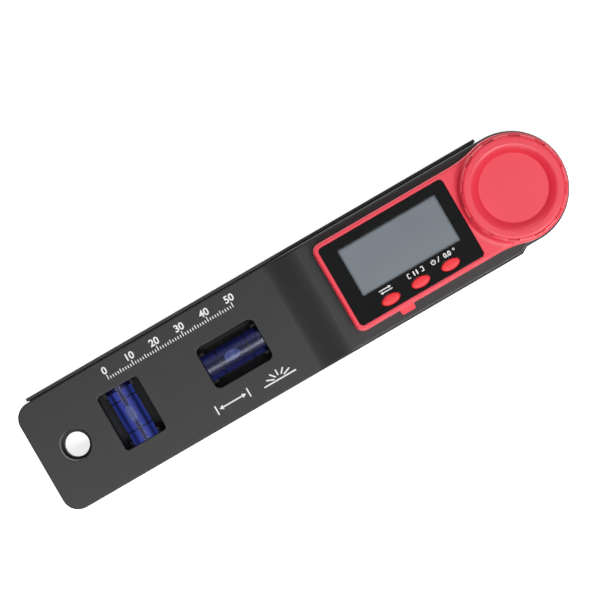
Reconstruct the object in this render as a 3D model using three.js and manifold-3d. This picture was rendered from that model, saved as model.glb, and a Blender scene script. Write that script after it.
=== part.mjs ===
// Digital angle finder with two folding arms, shown closed.
// Millimetres, +Z up. The origin lies on the pivot axis, on the underside of the lower arm.
// The arms run from the pivot towards -X. The lower arm's straightedge is on the +Y side,
// the upper arm's on the -Y side, and the upper arm opens towards -Y.
import * as THREE from "three";
import { mergeVertices } from "three/addons/utils/BufferGeometryUtils.js";
import Module from "manifold-3d";

// Clearances
const runGap = 0.3; // between pieces that move past each other
const seatGap = 0.3; // around a piece that lies in its seat
const faceGap = 0.1; // between flat faces stacked on each other
const threadGap = 0.15; // around a screw in its hole
const overrun = 1; // how far a cutting tool runs past what it cuts
const edgeChamfer = 0.3; // eased edges

// Plan of the arms, from the pivot out to the tail
const panelStart = 19.8; // pivot to the near edge of the face panel
const panelLength = 49.3;
const bezelEnd = 1.9; // red rim beyond the far edge of the panel
const crestSetback = 3.6; // red housing to the crest of the ramp
const rampRun = 14.8;
const rampEase = 2.4; // run of the easing at each end of the ramp
const longWindowSetback = 10.85; // foot of the ramp to the long level's window
const longWindowLength = 23.3;
const longWindowWidth = 16.7;
const longWindowCorner = 2.4;
const windowSpacing = 21.4; // between the two windows
const crossWindowLength = 21.9; // across the arm
const crossWindowWidth = 16.5; // along the arm
const crossWindowCorner = 1.5;
const holeSetback = 8.25; // window of the cross level to the hanging hole
const holeRadius = 5.7;
const holeRimChamfer = 0.5;
const lowerHoleRadius = 4.4;
const tailMargin = 7.9; // hanging hole to the tail end
const armHalfWidth = 21.6; // pivot axis to either straightedge
const tailCorner = 6;
const windowShift = -1.2; // the windows' centre line, across the arm
const holeShift = -0.6;

// Straightedges
const edgeThickness = 1.1;
const edgeGap = 0.4; // straightedge of one arm to the side of the other
const lowerEdgeTailSetback = 6.4;
const lowerEdgeHeadSetback = 2.6;
const lowerEdgeDrop = 1; // its top below the upper arm's tail face
const upperEdgeEnd = 7.85; // pivot to the bevel that ends the upper straightedge
const upperEdgeBevelRun = 2.45;
const upperEdgeLift = 0.4; // its lower rim above the underside of the lower arm

// Lower arm
const lowerPlate = 5.4;
const lowerTailSetback = 0.4;
const lowerRim = 2.2; // outer wall around the pockets of the underside
const lowerSkin = 1.8;
const pocketColumns = 7;
const pocketRows = 2;
const pocketRib = 1.6;
const pocketCorner = 1.2;
const pocketHeadSetback = 24; // pivot to the first pocket
const holeBossWall = 2.2;
const headPockets = 6;
const headPocketInner = 10.2;
const headPocketRim = 2.6;

// Upper arm
const armGap = 0.4;
const basePlate = 1.2;
const shellWall = 2;
const shellSkin = 1.9;
const pocketWall = 1.4; // around the windows' pockets
const rampRise = 3.4;
const tailEdgeRound = 0.4;
const headEdgeRound = 1.1;
const crossRib = 1.2;
const crestRibSetback = 1; // crest of the ramp to the rib under the head

// Levels
const vialRadius = 4.75;
const vialDrop = 0.2; // top of a vial below the arm's face
const vialEndChamfer = 0.5;
const vialWall = 0.8;
const vialFloor = 1.5; // closed end of the tube, and length of the plug
const liquidGap = 0.1;
const bubbleLength = 6.4;
const bubbleRadius = 1.9;
const saddleThickness = 2;
const saddleWall = 1.4;
const saddleGrip = 1.3; // how far a saddle reaches above the vial's axis

// Screws
const screwHeadRadius = 2;
const screwHeadHeight = 1;
const screwShankRadius = 0.9;
const screwGrip = 4.2; // thread in the boss
const screwBossWall = 1.7;
const baseScrewInset = 5.1; // side of the arm to each row of base plate screws
const baseScrewPad = 1.4; // plate left under a screw head
const headScrewSetback = 4; // panel's near edge to the screws nearest the pivot

// Pivot
const boltRadius = 2.5;
const boltHeadAcross = 8; // across the flats
const boltHeadHeight = 2.4;
const capRadius = 7;
const capThickness = 1.2;
const lowerHubRise = 1;
const hubInset = 1.1; // hub inside the bore of the sensor rings
const washerThickness = 1;
const bushWall = 1.2;
const bushFlange = 0.8;
const bushFlangeRadius = 6;

// Angle sensor
const sensorBoard = 1;
const sensorGap = 0.8; // between rotor and stator
const rotorLift = 2.8; // rotor above the plate of the lower arm
const statorInset = 2.5; // stator inside the wall of the head
const rotorInset = 0.6; // rotor's radius under the stator's
const rotorSweepGap = 1; // rotor to the rim of the base plate's opening
const sensorBoreShare = 0.507; // bore of the sensor rings in the radius of the rotor
const sensorPostRadius = 1.8;
const sensorPinRadius = 0.8;
const sensorPosts = 3;
const rotorPostTurn = 90; // angle of the first post
const statorPostTurn = 30;
const ribbonThickness = 0.25;
const ribbonWidth = 5;
const ribbonReach = 5; // how far it lies under the main board
const ribbonLap = 3; // how far it lies on the stator
const ribbonSlotSetback = 2; // stator to the middle of the ribbon's slot
const ribbonSlotWidth = 2;

// Red housing
const ledgeWidth = 4.4; // black ledge beside the housing
const housingWall = 1.8;
const housingCorner = 3.1;
const housingBaseInset = 0.7; // round end inside the round of the black head
const sweepRadius = 37; // hollow curve from the straight side to the round end
const housingDraft = 0.2;
const housingEdgeRound = 0.8;
const housingBossRadius = 2.3;
const housingBossInset = 3.1; // boss centre to the inner face of the wall
const nearBossSetback = 1.4; // boss centre to the panel's near edge
const pedestalRise = 1.6;
const pedestalInset = 0.8;
const pedestalFlare = 3.6; // width of the hollow curve at the foot of the pedestal
const pedestalSkin = 2;
const pedestalEdgeRound = 0.4;
const stemGap = 1; // round the knob's stem

// Face panel, display and board
const panelThickness = 0.9;
const panelCorner = 1.5;
const panelGap = 0.15;
const panelLedge = 0.5; // inner ledge that the panel rests on
const bezelProud = 0.3;
const bezelSide = 1.8; // red rim on the +Y side
const bezelSideNear = 2; // red rim on the -Y side
const lcdEndMargin = 5.7; // panel's far edge to the display
const lcdNearMargin = 4.6;
const lcdTopMargin = 3.7;
const lcdBottomMargin = 8.6;
const lcdCorner = 0.6;
const lcdFlange = 0.9;
const lcdFlangeThickness = 0.8;
const lcdTopDrop = 0.15;
const boardThickness = 0.8;
const boardSideGap = 0.8;
const boardPostRadius = 2;
const zebraWidth = 1.4;
const zebraEndInset = 3;
const chipRadius = 3.4;

// Buttons
const buttonLength = 7.3;
const buttonWidth = 3.8;
const buttonProud = 0.8;
const buttonRound = 0.55;
const buttonFlange = 0.5;
const buttonFlangeRim = 0.45;
const buttonGap = 0.2; // round a button in the panel
const buttonRowMargin = 3.15; // panel's -Y edge to the buttons' centre line
const buttonTravel = 0.4;
const buttonSpare = 0.1; // left under a button at the end of its travel
const buttonPitch = 11.85;
const buttonSide = 0.8; // middle button beside the panel's middle
const domeRadius = 2.2;
const domeHeight = 0.4;

// Battery
const cellRadius = 10;
const cellHeight = 2.5;
const cellStep = 0.35;
const trayFloor = 0.6;
const trayWall = 0.9;
const trayRimDrop = 0.9; // tray's rim below the top of the cell
const trayFromFarEnd = 17.1; // far edge of the panel to the tray's centre
const tabWidth = 5.8;
const tabReach = 1.85;
const tabHeight = 1.6;
const tabCorner = 0.6;
const contactRoom = 0.7; // between cell and board
const contactSheet = 0.2;
const contactWidth = 4;
const contactLength = 9;

// Knob
const knobInset = 1.1; // knob's rim inside the housing's round end
const knobHeight = 4.5;
const knobFlange = 0.9;
const knobRim = 3.3; // width of the raised rim
const knobSlope = 2.95; // width of the slope into the dish
const dishDepth = 1.9;
const knobRimRound = 1.5;
const knobSkin = 1.6;
const knobWall = 1.7;
const stemRadius = 6;
const nutAcross = 8;
const nutHeight = 5;
const nutGap = 0.15;
const boltEnd = 0.15; // bolt past the nut
const boltEndRoom = 2.5; // bore of the stem past the nut
const notchCount = 12;
const notchLength = 4.2;
const notchDepth = 0.75;

// Number of faces
const wideFaces = 48; // rounds of the head, housing and knob
const mediumFaces = 20;
const smallFaces = 10;
const hexFaces = 6;
const cornerSteps = 3;
const roundSteps = 3;
const pocketSteps = 2;
const rampSteps = 8;

// Derived places along and across the arms
const panelFarX = -(panelStart + panelLength);
const housingFarX = panelFarX - bezelEnd;
const crestX = housingFarX - crestSetback;
const rampFootX = crestX - rampRun;
const longWindowX = rampFootX - longWindowSetback - longWindowLength / 2;
const crossWindowX = longWindowX - longWindowLength / 2 - windowSpacing - crossWindowWidth / 2;
const holeX = crossWindowX - crossWindowWidth / 2 - holeSetback - holeRadius;
const tailX = holeX - holeRadius - tailMargin;
const armSideY = armHalfWidth - edgeThickness - edgeGap; // side without a straightedge
const headRadius = armSideY;
const baseScrewRow = armSideY - baseScrewInset;
const housingHalfWidth = armHalfWidth - ledgeWidth;
const housingRadius = headRadius - housingBaseInset;
const panelTopY = housingHalfWidth - bezelSide;
const panelBottomY = -(housingHalfWidth - bezelSideNear);
const buttonRowY = panelBottomY + buttonRowMargin;
const middleButtonX = panelFarX + panelLength / 2 + buttonSide;
const trayX = panelFarX + trayFromFarEnd;
const knobRadius = housingRadius - knobInset;

// Derived heights, from the table up
const upperBaseZ = lowerPlate + armGap;
const basePlateTopZ = upperBaseZ + basePlate;
const innerFloorZ = basePlateTopZ + seatGap;
const vialAxisZ = basePlateTopZ + seatGap + vialRadius;
const tailTopZ = vialAxisZ + vialRadius + vialDrop;
const lowerEdgeTopZ = tailTopZ - lowerEdgeDrop;
const ledgeZ = tailTopZ + rampRise;
const headCeilingZ = ledgeZ - shellSkin;
const trayBottomZ = ledgeZ + runGap;
const cellBottomZ = trayBottomZ + trayFloor + faceGap;
const cellTopZ = cellBottomZ + cellHeight;
const boardBottomZ = cellTopZ + contactRoom;
const boardTopZ = boardBottomZ + boardThickness;
const domeTopZ = boardTopZ + faceGap + domeHeight;
const flangeBottomZ = domeTopZ + buttonTravel + buttonSpare;
const panelBottomZ = flangeBottomZ + buttonFlange + runGap;
const panelTopZ = panelBottomZ + panelThickness;
const housingTopZ = panelTopZ + bezelProud;
const pedestalTopZ = housingTopZ + pedestalRise;
const knobBottomZ = pedestalTopZ + runGap;
const knobTopZ = knobBottomZ + knobHeight;
const dishZ = knobTopZ - dishDepth;
const boltHeadZ = capThickness + faceGap;
const lowerHubZ = lowerPlate + lowerHubRise;
const washerZ = lowerHubZ + faceGap;
const upperHubZ = washerZ + washerThickness + faceGap;
const bushFlangeZ = ledgeZ + faceGap;
const clampWasherZ = bushFlangeZ + bushFlange + faceGap;
const stemZ = clampWasherZ + washerThickness + faceGap;
const nutTopZ = stemZ + nutHeight;
const rotorZ = lowerPlate + rotorLift;
const statorZ = rotorZ + sensorBoard + sensorGap;
const statorRadius = headRadius - shellWall - statorInset;
const rotorRadius = statorRadius - rotorInset;
const sensorBore = rotorRadius * sensorBoreShare;
const sensorPostRing = (sensorBore + rotorRadius) / 2;
const hubRadius = sensorBore - hubInset;
const bushBore = boltRadius + runGap;
const bushRadius = bushBore + bushWall;

const wasm = await Module();
wasm.setup();

// Points and outlines

// An arc of a circle as points, from one angle to another in degrees, either way round.
function arc(x, y, radius, from, to, steps) {
  const points = [];
  for (let i = 0; i <= steps; i++) {
    const angle = THREE.MathUtils.degToRad(from + ((to - from) * i) / steps);
    points.push(new THREE.Vector2(x + radius * Math.cos(angle), y + radius * Math.sin(angle)));
  }
  return points;
}

function circle(x, y, radius, faces) {
  return arc(x, y, radius, 0, 360, faces).slice(0, -1);
}

function ellipse(length, width, faces) {
  return circle(0, 0, 1, faces).map((p) => new THREE.Vector2((p.x * length) / 2, (p.y * width) / 2));
}

function roundedBox(x, y, length, width, corner, steps = cornerSteps) {
  const right = x + length / 2 - corner;
  const left = x - length / 2 + corner;
  const top = y + width / 2 - corner;
  const bottom = y - width / 2 + corner;
  return [
    ...arc(right, bottom, corner, -90, 0, steps),
    ...arc(right, top, corner, 0, 90, steps),
    ...arc(left, top, corner, 90, 180, steps),
    ...arc(left, bottom, corner, 180, 270, steps),
  ];
}

function points(pairs) {
  return pairs.map(([x, y]) => new THREE.Vector2(x, y));
}

// Solids

// A closed three.js geometry as a solid that can be joined and cut.
function solid(geometry) {
  const bare = geometry.clone();
  bare.deleteAttribute("normal");
  bare.deleteAttribute("uv");
  const merged = mergeVertices(bare);
  const corners = [];
  for (let i = 0; i < merged.index.count; i += 3) {
    const [a, b, c] = [0, 1, 2].map((k) => merged.index.getX(i + k));
    if (a !== b && b !== c && c !== a) corners.push(a, b, c);
  }
  return new wasm.Manifold(
    new wasm.Mesh({
      numProp: 3,
      vertProperties: merged.attributes.position.array,
      triVerts: new Uint32Array(corners),
    }),
  );
}

// A solid as a three.js geometry with flat faces.
function geometryOf(made) {
  const mesh = made.getMesh();
  const indexed = new THREE.BufferGeometry();
  indexed.setAttribute("position", new THREE.BufferAttribute(mesh.vertProperties, 3));
  indexed.setIndex(new THREE.BufferAttribute(mesh.triVerts, 1));
  const flat = indexed.toNonIndexed();
  flat.computeVertexNormals();
  return flat;
}

function join(...solids) {
  return solids.reduce((all, next) => all.add(next));
}

function cut(from, ...tools) {
  return tools.reduce((rest, tool) => rest.subtract(tool), from);
}

// An outline in X and Y, raised from one height to another.
function prism(outline, bottom, top) {
  const geometry = new THREE.ExtrudeGeometry(new THREE.Shape(outline), {
    depth: top - bottom,
    bevelEnabled: false,
  });
  return solid(geometry.translate(0, 0, bottom));
}

// An outline in X and Z, run along Y.
function alongY(outline, from, to) {
  const geometry = new THREE.ExtrudeGeometry(new THREE.Shape(outline), {
    depth: to - from,
    bevelEnabled: false,
  });
  return solid(geometry.rotateX(Math.PI / 2).translate(0, to, 0));
}

// An outline in Y and Z, run along X.
function alongX(outline, from, to) {
  const geometry = new THREE.ExtrudeGeometry(new THREE.Shape(outline), {
    depth: to - from,
    bevelEnabled: false,
  });
  const turn = new THREE.Matrix4().makeBasis(
    new THREE.Vector3(0, 1, 0),
    new THREE.Vector3(0, 0, 1),
    new THREE.Vector3(1, 0, 0),
  );
  return solid(geometry.applyMatrix4(turn).translate(from, 0, 0));
}

function block(x0, x1, y0, y1, z0, z1) {
  const geometry = new THREE.BoxGeometry(x1 - x0, y1 - y0, z1 - z0);
  return solid(geometry.translate((x0 + x1) / 2, (y0 + y1) / 2, (z0 + z1) / 2));
}

function cylinder(x, y, radius, bottom, top, faces) {
  return prism(circle(x, y, radius, faces), bottom, top);
}

// A profile of radius and height turned round the Z axis. It runs outwards, up and back in.
function turned(profile, faces) {
  const geometry = new THREE.LatheGeometry(points(profile), faces);
  return solid(geometry.rotateX(Math.PI / 2));
}

function ring(inner, outer, bottom, top, faces) {
  return turned([[inner, bottom], [outer, bottom], [outer, top], [inner, top], [inner, bottom]], faces);
}

// Outlines with the same number of points, one over the other, skinned into one solid.
function skinned(levels) {
  const count = levels[0].outline.length;
  const positions = levels.flatMap(({ outline, z }) => outline.flatMap((p) => [p.x, p.y, z]));
  const index = [];
  for (let level = 0; level + 1 < levels.length; level++) {
    for (let i = 0; i < count; i++) {
      const a = level * count + i;
      const b = level * count + ((i + 1) % count);
      index.push(a, b, b + count, a, b + count, a + count);
    }
  }
  const top = (levels.length - 1) * count;
  for (const [a, b, c] of THREE.ShapeUtils.triangulateShape(levels[0].outline, [])) {
    index.push(a, c, b);
  }
  for (const [a, b, c] of THREE.ShapeUtils.triangulateShape(levels[levels.length - 1].outline, [])) {
    index.push(top + a, top + b, top + c);
  }
  const geometry = new THREE.BufferGeometry();
  geometry.setAttribute("position", new THREE.Float32BufferAttribute(positions, 3));
  geometry.setIndex(index);
  return solid(geometry);
}

// An outline that draws in by a draft on its way up, and is rounded at its top edge.
function roundedTop(outlineAt, bottom, top, round, draft) {
  const levels = [{ outline: outlineAt(0), z: bottom }];
  for (let i = 0; i <= roundSteps; i++) {
    const angle = ((Math.PI / 2) * i) / roundSteps;
    const inset = draft + round * (1 - Math.cos(angle));
    levels.push({ outline: outlineAt(inset), z: top - round * (1 - Math.sin(angle)) });
  }
  return skinned(levels);
}

// Pieces

const red = 0xe0404e;
const black = 0x2b2b2d;

function piece(name, shape, color, roughness, metalness) {
  const geometry = shape.isBufferGeometry ? shape : geometryOf(shape);
  const mesh = new THREE.Mesh(geometry, new THREE.MeshStandardMaterial({ color, roughness, metalness }));
  mesh.name = name;
  return mesh;
}

function group(...children) {
  const made = new THREE.Group();
  made.add(...children);
  return made;
}

// Plan of the lower arm's plate, drawn in by an inset.
function lowerOutline(inset) {
  const half = armSideY - inset;
  const corner = tailCorner - inset;
  const left = tailX + lowerTailSetback + tailCorner;
  return [
    ...arc(0, 0, half, -90, 90, wideFaces / 2),
    ...arc(left, half - corner, corner, 90, 180, cornerSteps),
    ...arc(left, corner - half, corner, 180, 270, cornerSteps),
  ];
}

// Plan of the upper arm, drawn in by an inset. The bevel ends its straightedge.
function upperOutline(inset) {
  const side = armSideY - inset;
  const edge = armHalfWidth - inset;
  const corner = tailCorner - inset;
  const left = tailX + tailCorner;
  return [
    ...points([[-upperEdgeEnd, -edge], [-upperEdgeEnd + upperEdgeBevelRun, -side]]),
    ...arc(0, 0, side, -90, 90, wideFaces / 2),
    ...arc(left, side - corner, corner, 90, 180, cornerSteps),
    ...arc(left, corner - edge, corner, 180, 270, cornerSteps),
  ];
}

// Plan of the red housing, drawn in by an inset: a box that sweeps out into a round end.
function housingOutline(inset) {
  const sweepX = -Math.sqrt((housingRadius + sweepRadius) ** 2 - (housingHalfWidth + sweepRadius) ** 2);
  const sweepY = housingHalfWidth + sweepRadius;
  const turn = THREE.MathUtils.radToDeg(Math.atan2(sweepY, -sweepX));
  const half = housingHalfWidth - inset;
  const corner = housingCorner - inset;
  const left = housingFarX + housingCorner;
  return [
    ...arc(sweepX, -sweepY, sweepRadius + inset, 90, turn, roundSteps),
    ...arc(0, 0, housingRadius - inset, turn - 180, 180 - turn, wideFaces / 2).slice(1, -1),
    ...arc(sweepX, sweepY, sweepRadius + inset, -turn, -90, roundSteps),
    ...arc(left, half - corner, corner, 90, 180, cornerSteps),
    ...arc(left, corner - half, corner, 180, 270, cornerSteps),
  ];
}

// Side profile of the ramp, lowered by a drop: level with the tail at one end, with the head at the other.
function rampCurve(drop) {
  return new THREE.CubicBezierCurve(
    new THREE.Vector2(rampFootX, tailTopZ - drop),
    new THREE.Vector2(rampFootX + rampEase, tailTopZ - drop),
    new THREE.Vector2(crestX - rampEase, ledgeZ - drop),
    new THREE.Vector2(crestX, ledgeZ - drop),
  ).getPoints(rampSteps);
}

// Underside of the upper arm's skin, seen from the side.
function ceilingProfile() {
  return [
    ...points([[tailX, 0], [headRadius, 0], [headRadius, headCeilingZ]]),
    ...rampCurve(shellSkin).reverse(),
    ...points([[tailX, tailTopZ - shellSkin]]),
  ];
}

function crossWindow(grow) {
  return roundedBox(
    crossWindowX, windowShift, crossWindowWidth + 2 * grow, crossWindowLength + 2 * grow,
    crossWindowCorner + grow,
  );
}

function longWindow(grow) {
  return roundedBox(
    longWindowX, windowShift, longWindowLength + 2 * grow, longWindowWidth + 2 * grow,
    longWindowCorner + grow,
  );
}

// Places of the screws that hold the base plate.
function baseScrewPlaces() {
  const columns = [
    crossWindowX - crossWindowWidth / 2 - pocketWall - screwHeadRadius,
    (longWindowX + longWindowLength / 2 + rampFootX) / 2,
    -(panelStart + headScrewSetback),
  ];
  return columns.flatMap((x) => [new THREE.Vector2(x, baseScrewRow), new THREE.Vector2(x, -baseScrewRow)]);
}

// Places of the bosses in the corners of the red housing.
function housingBossPlaces() {
  const y = housingHalfWidth - housingWall - housingBossInset;
  const left = housingFarX + housingWall + housingBossInset;
  const right = -(panelStart - nearBossSetback);
  return [left, right].flatMap((x) => [new THREE.Vector2(x, y), new THREE.Vector2(x, -y)]);
}

// Places on a ring round the pivot, starting at an angle in degrees.
function ringPlaces(radius, count, start) {
  return circle(0, 0, radius, count).map((p) =>
    p.rotateAround(new THREE.Vector2(), THREE.MathUtils.degToRad(start)),
  );
}

const rotorPlaces = ringPlaces(sensorPostRing, sensorPosts, rotorPostTurn);
const statorPlaces = ringPlaces(sensorPostRing, sensorPosts, statorPostTurn);

// Lower arm

function lowerArmShell() {
  const left = tailX + lowerEdgeTailSetback;
  const right = -lowerEdgeHeadSetback;
  const innerY = armHalfWidth - edgeThickness;
  const straightedge = alongX(
    points([
      [innerY, 0], [armHalfWidth, 0], [armHalfWidth, lowerEdgeTopZ - edgeChamfer],
      [armHalfWidth - edgeChamfer, lowerEdgeTopZ], [innerY, lowerEdgeTopZ],
    ]),
    left, right,
  );
  const foot = block(left, right, armSideY - lowerRim, armHalfWidth - edgeChamfer, 0, lowerPlate);
  const hub = cylinder(0, 0, hubRadius, lowerPlate - overrun, lowerHubZ, mediumFaces);
  const posts = rotorPlaces.map((p) =>
    cylinder(p.x, p.y, sensorPostRadius, lowerPlate - overrun, rotorZ - faceGap, smallFaces),
  );
  const pins = rotorPlaces.map((p) =>
    cylinder(p.x, p.y, sensorPinRadius, lowerPlate, rotorZ + sensorBoard, smallFaces),
  );
  const headPocket = capThickness + faceGap + boltHeadHeight + faceGap;
  return cut(
    join(prism(lowerOutline(0), 0, lowerPlate), straightedge, foot, hub, ...posts, ...pins),
    undersidePockets(),
    ...headUndersidePockets(),
    cylinder(holeX, holeShift, lowerHoleRadius, -overrun, lowerPlate + overrun, mediumFaces),
    cylinder(0, 0, capRadius + seatGap, -overrun, capThickness + faceGap, mediumFaces),
    cylinder(0, 0, hexRadius(boltHeadAcross) + faceGap, -overrun, headPocket, hexFaces),
    cylinder(0, 0, boltRadius + threadGap, -overrun, lowerHubZ + overrun, mediumFaces),
  );
}

function hexRadius(acrossFlats) {
  return acrossFlats / Math.sqrt(3);
}

// Rows of pockets in the underside of the plate, clear of the hanging hole's boss.
function undersidePockets() {
  const left = tailX + lowerTailSetback + lowerRim;
  const half = armSideY - lowerRim;
  const pitchX = (-pocketHeadSetback - left + pocketRib) / pocketColumns;
  const pitchY = (2 * half + pocketRib) / pocketRows;
  const pockets = [];
  for (let column = 0; column < pocketColumns; column++) {
    for (let row = 0; row < pocketRows; row++) {
      const x = left + pitchX * (column + 0.5) - pocketRib / 2;
      const y = -half + pitchY * (row + 0.5) - pocketRib / 2;
      const outline = roundedBox(x, y, pitchX - pocketRib, pitchY - pocketRib, pocketCorner, pocketSteps);
      pockets.push(prism(outline, -overrun, lowerPlate - lowerSkin));
    }
  }
  const plate = prism(lowerOutline(lowerRim), -overrun, lowerPlate);
  const boss = cylinder(holeX, holeShift, lowerHoleRadius + holeBossWall, -overrun, lowerPlate, mediumFaces);
  return cut(join(...pockets).intersect(plate), boss);
}

// Sectors of a ring round the bolt cap, in the underside of the head.
function headUndersidePockets() {
  const outer = headRadius - headPocketRim;
  const step = 360 / headPockets;
  return circle(0, 0, 1, headPockets).map((_, i) => {
    const margin = THREE.MathUtils.radToDeg(pocketRib / 2 / headPocketInner);
    const from = i * step + margin;
    const to = (i + 1) * step - margin;
    const outline = [
      ...arc(0, 0, headPocketInner, to, from, roundSteps),
      ...arc(0, 0, outer, from, to, cornerSteps),
    ];
    return prism(outline, -overrun, lowerPlate - lowerSkin);
  });
}

function pivotBolt() {
  const head = cylinder(0, 0, hexRadius(boltHeadAcross), boltHeadZ, boltHeadZ + boltHeadHeight, hexFaces);
  const end = nutTopZ + boltEnd;
  return join(head, turned(
    [
      [0, boltHeadZ + edgeChamfer], [boltRadius, boltHeadZ + edgeChamfer], [boltRadius, end - edgeChamfer],
      [boltRadius - edgeChamfer, end], [0, end],
    ],
    mediumFaces,
  ));
}

function boltCap() {
  return turned(
    [
      [0, 0], [capRadius - edgeChamfer, 0], [capRadius, edgeChamfer], [capRadius, capThickness],
      [0, capThickness],
    ],
    mediumFaces,
  );
}

function thrustWasher() {
  return ring(boltRadius + threadGap, hubRadius, washerZ, washerZ + washerThickness, mediumFaces);
}

// A ring of circuit board with holes for the pins it is staked on.
function sensorRing(radius, bottom, places) {
  const top = bottom + sensorBoard;
  const pinHoles = places.map((p) =>
    cylinder(p.x, p.y, sensorPinRadius + threadGap, bottom - overrun, top + overrun, smallFaces),
  );
  return cut(ring(sensorBore, radius, bottom, top, mediumFaces), ...pinHoles);
}

// Upper arm

function upperArmShell() {
  const tail = roundedTop(upperOutline, upperBaseZ, tailTopZ, tailEdgeRound, 0);
  const overTail = [
    ...points([[tailX - overrun, ledgeZ + overrun], [tailX - overrun, 0], [rampFootX, 0]]),
    ...rampCurve(0),
    ...points([[crestX, ledgeZ + overrun]]),
  ];
  const head = roundedTop(upperOutline, upperBaseZ, ledgeZ, headEdgeRound, 0);
  const raised = cut(head, alongY(overTail, -armHalfWidth - overrun, armHalfWidth + overrun));
  return cut(
    join(cut(join(tail, raised), upperCavity()), upperStraightedge(), ...boardPosts()),
    prism(crossWindow(0), 0, ledgeZ),
    prism(longWindow(0), 0, ledgeZ),
    hangingHole(),
    cylinder(0, 0, bushRadius + seatGap, 0, ledgeZ + overrun, mediumFaces),
    ribbonSlot(),
    ...baseScrewPlaces().map((p) =>
      cylinder(p.x, p.y, screwShankRadius + threadGap, 0, baseScrewTopZ() + faceGap, smallFaces),
    ),
    ...housingBossPlaces().map((p) =>
      cylinder(p.x, p.y, screwShankRadius + threadGap, headCeilingZ - overrun, ledgeZ + overrun, smallFaces),
    ),
  );
}

// The straightedge that hangs down beside the lower arm.
function upperStraightedge() {
  const inner = -(armHalfWidth - edgeThickness);
  const bevelShare = edgeThickness / (armHalfWidth - armSideY);
  const outline = points([
    [tailX + tailCorner, -armHalfWidth], [-upperEdgeEnd, -armHalfWidth],
    [-upperEdgeEnd + upperEdgeBevelRun * bevelShare, inner], [tailX + tailCorner, inner],
  ]);
  return prism(outline, upperEdgeLift, upperBaseZ + overrun);
}

// The hollow inside the upper arm, open below, less what stands in it.
function upperCavity() {
  const space = alongY(ceilingProfile(), -armHalfWidth, armHalfWidth);
  const ribs = [
    (crossWindowX + crossWindowWidth / 2 + longWindowX - longWindowLength / 2) / 2,
    crestX + crestRibSetback,
    trayX + cellRadius,
  ].map((x) => block(x - crossRib / 2, x + crossRib / 2, -armHalfWidth, armHalfWidth, innerFloorZ, ledgeZ));
  return cut(
    prism(upperOutline(shellWall), 0, ledgeZ).intersect(space),
    prism(crossWindow(pocketWall), innerFloorZ, ledgeZ),
    prism(longWindow(pocketWall), innerFloorZ, ledgeZ),
    ...ribs,
    ...upperBosses(),
  );
}

// The round of the hanging hole, with its eased rim.
function hangingHole() {
  const rim = holeRadius + holeRimChamfer;
  return turned(
    [
      [0, 0], [holeRadius, 0], [holeRadius, tailTopZ - holeRimChamfer], [rim, tailTopZ],
      [rim, tailTopZ + overrun], [0, tailTopZ + overrun],
    ],
    mediumFaces,
  ).translate(holeX, holeShift, 0);
}

function baseScrewTopZ() {
  return basePlateTopZ + baseScrewPad + seatGap + screwGrip;
}

// Bosses, hub and posts that stand on the inside of the upper arm's skin.
function upperBosses() {
  const bossFloorZ = basePlateTopZ + baseScrewPad + seatGap;
  const bossRadius = screwShankRadius + screwBossWall;
  return [
    ...baseScrewPlaces().map((p) => cylinder(p.x, p.y, bossRadius, bossFloorZ, ledgeZ, smallFaces)),
    cylinder(holeX, holeShift, holeRadius + pocketWall, innerFloorZ, ledgeZ, mediumFaces),
    cylinder(0, 0, hubRadius, upperHubZ, ledgeZ, mediumFaces),
    ...statorPlaces.map((p) =>
      cylinder(p.x, p.y, sensorPostRadius, statorZ + sensorBoard + faceGap, ledgeZ, smallFaces),
    ),
    ...statorPlaces.map((p) => cylinder(p.x, p.y, sensorPinRadius, statorZ, ledgeZ, smallFaces)),
  ];
}

// Posts that stand on the head and carry the main board.
function boardPosts() {
  return boardPostPlaces().map((p) =>
    cylinder(p.x, p.y, boardPostRadius, ledgeZ - overrun, boardBottomZ - faceGap, smallFaces),
  );
}

// Places of the posts under the main board, clear of the battery tray.
function boardPostPlaces() {
  const { left, right, half } = boardEdges();
  const inset = boardPostRadius + faceGap;
  const besideTray = trayX + cellRadius + trayWall + seatGap + runGap + inset;
  return points([
    [right - inset, half - inset], [right - inset, inset - half],
    [left + inset, half - inset], [besideTray, inset - half],
  ]);
}

function ribbonSlotX() {
  return -(statorRadius + ribbonSlotSetback);
}

function ribbonSlot() {
  const x = ribbonSlotX();
  const half = ribbonWidth / 2 + seatGap;
  const reach = ribbonSlotWidth / 2;
  return block(x - reach, x + reach, -half, half, headCeilingZ - overrun, ledgeZ + overrun);
}

function basePlateShell() {
  const screwHead = faceGap + screwHeadHeight + faceGap;
  const pads = baseScrewPlaces().map((p) =>
    cylinder(p.x, p.y, screwHeadRadius + pocketWall, upperBaseZ, basePlateTopZ + baseScrewPad, smallFaces),
  );
  const plan = prism(upperOutline(shellWall + seatGap), upperBaseZ, tailTopZ);
  const screwHoles = baseScrewPlaces().flatMap((p) => [
    cylinder(p.x, p.y, screwHeadRadius + threadGap, 0, upperBaseZ + screwHead, smallFaces),
    cylinder(p.x, p.y, screwShankRadius + threadGap, 0, tailTopZ, smallFaces),
  ]);
  return cut(
    join(
      prism(upperOutline(shellWall + seatGap), upperBaseZ, basePlateTopZ),
      join(...pads).intersect(plan),
      ...saddles(),
    ),
    ...screwHoles,
    cylinder(holeX, holeShift, holeRadius, 0, tailTopZ, mediumFaces),
    cylinder(0, 0, rotorRadius + rotorSweepGap, 0, tailTopZ, wideFaces),
  );
}

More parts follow.
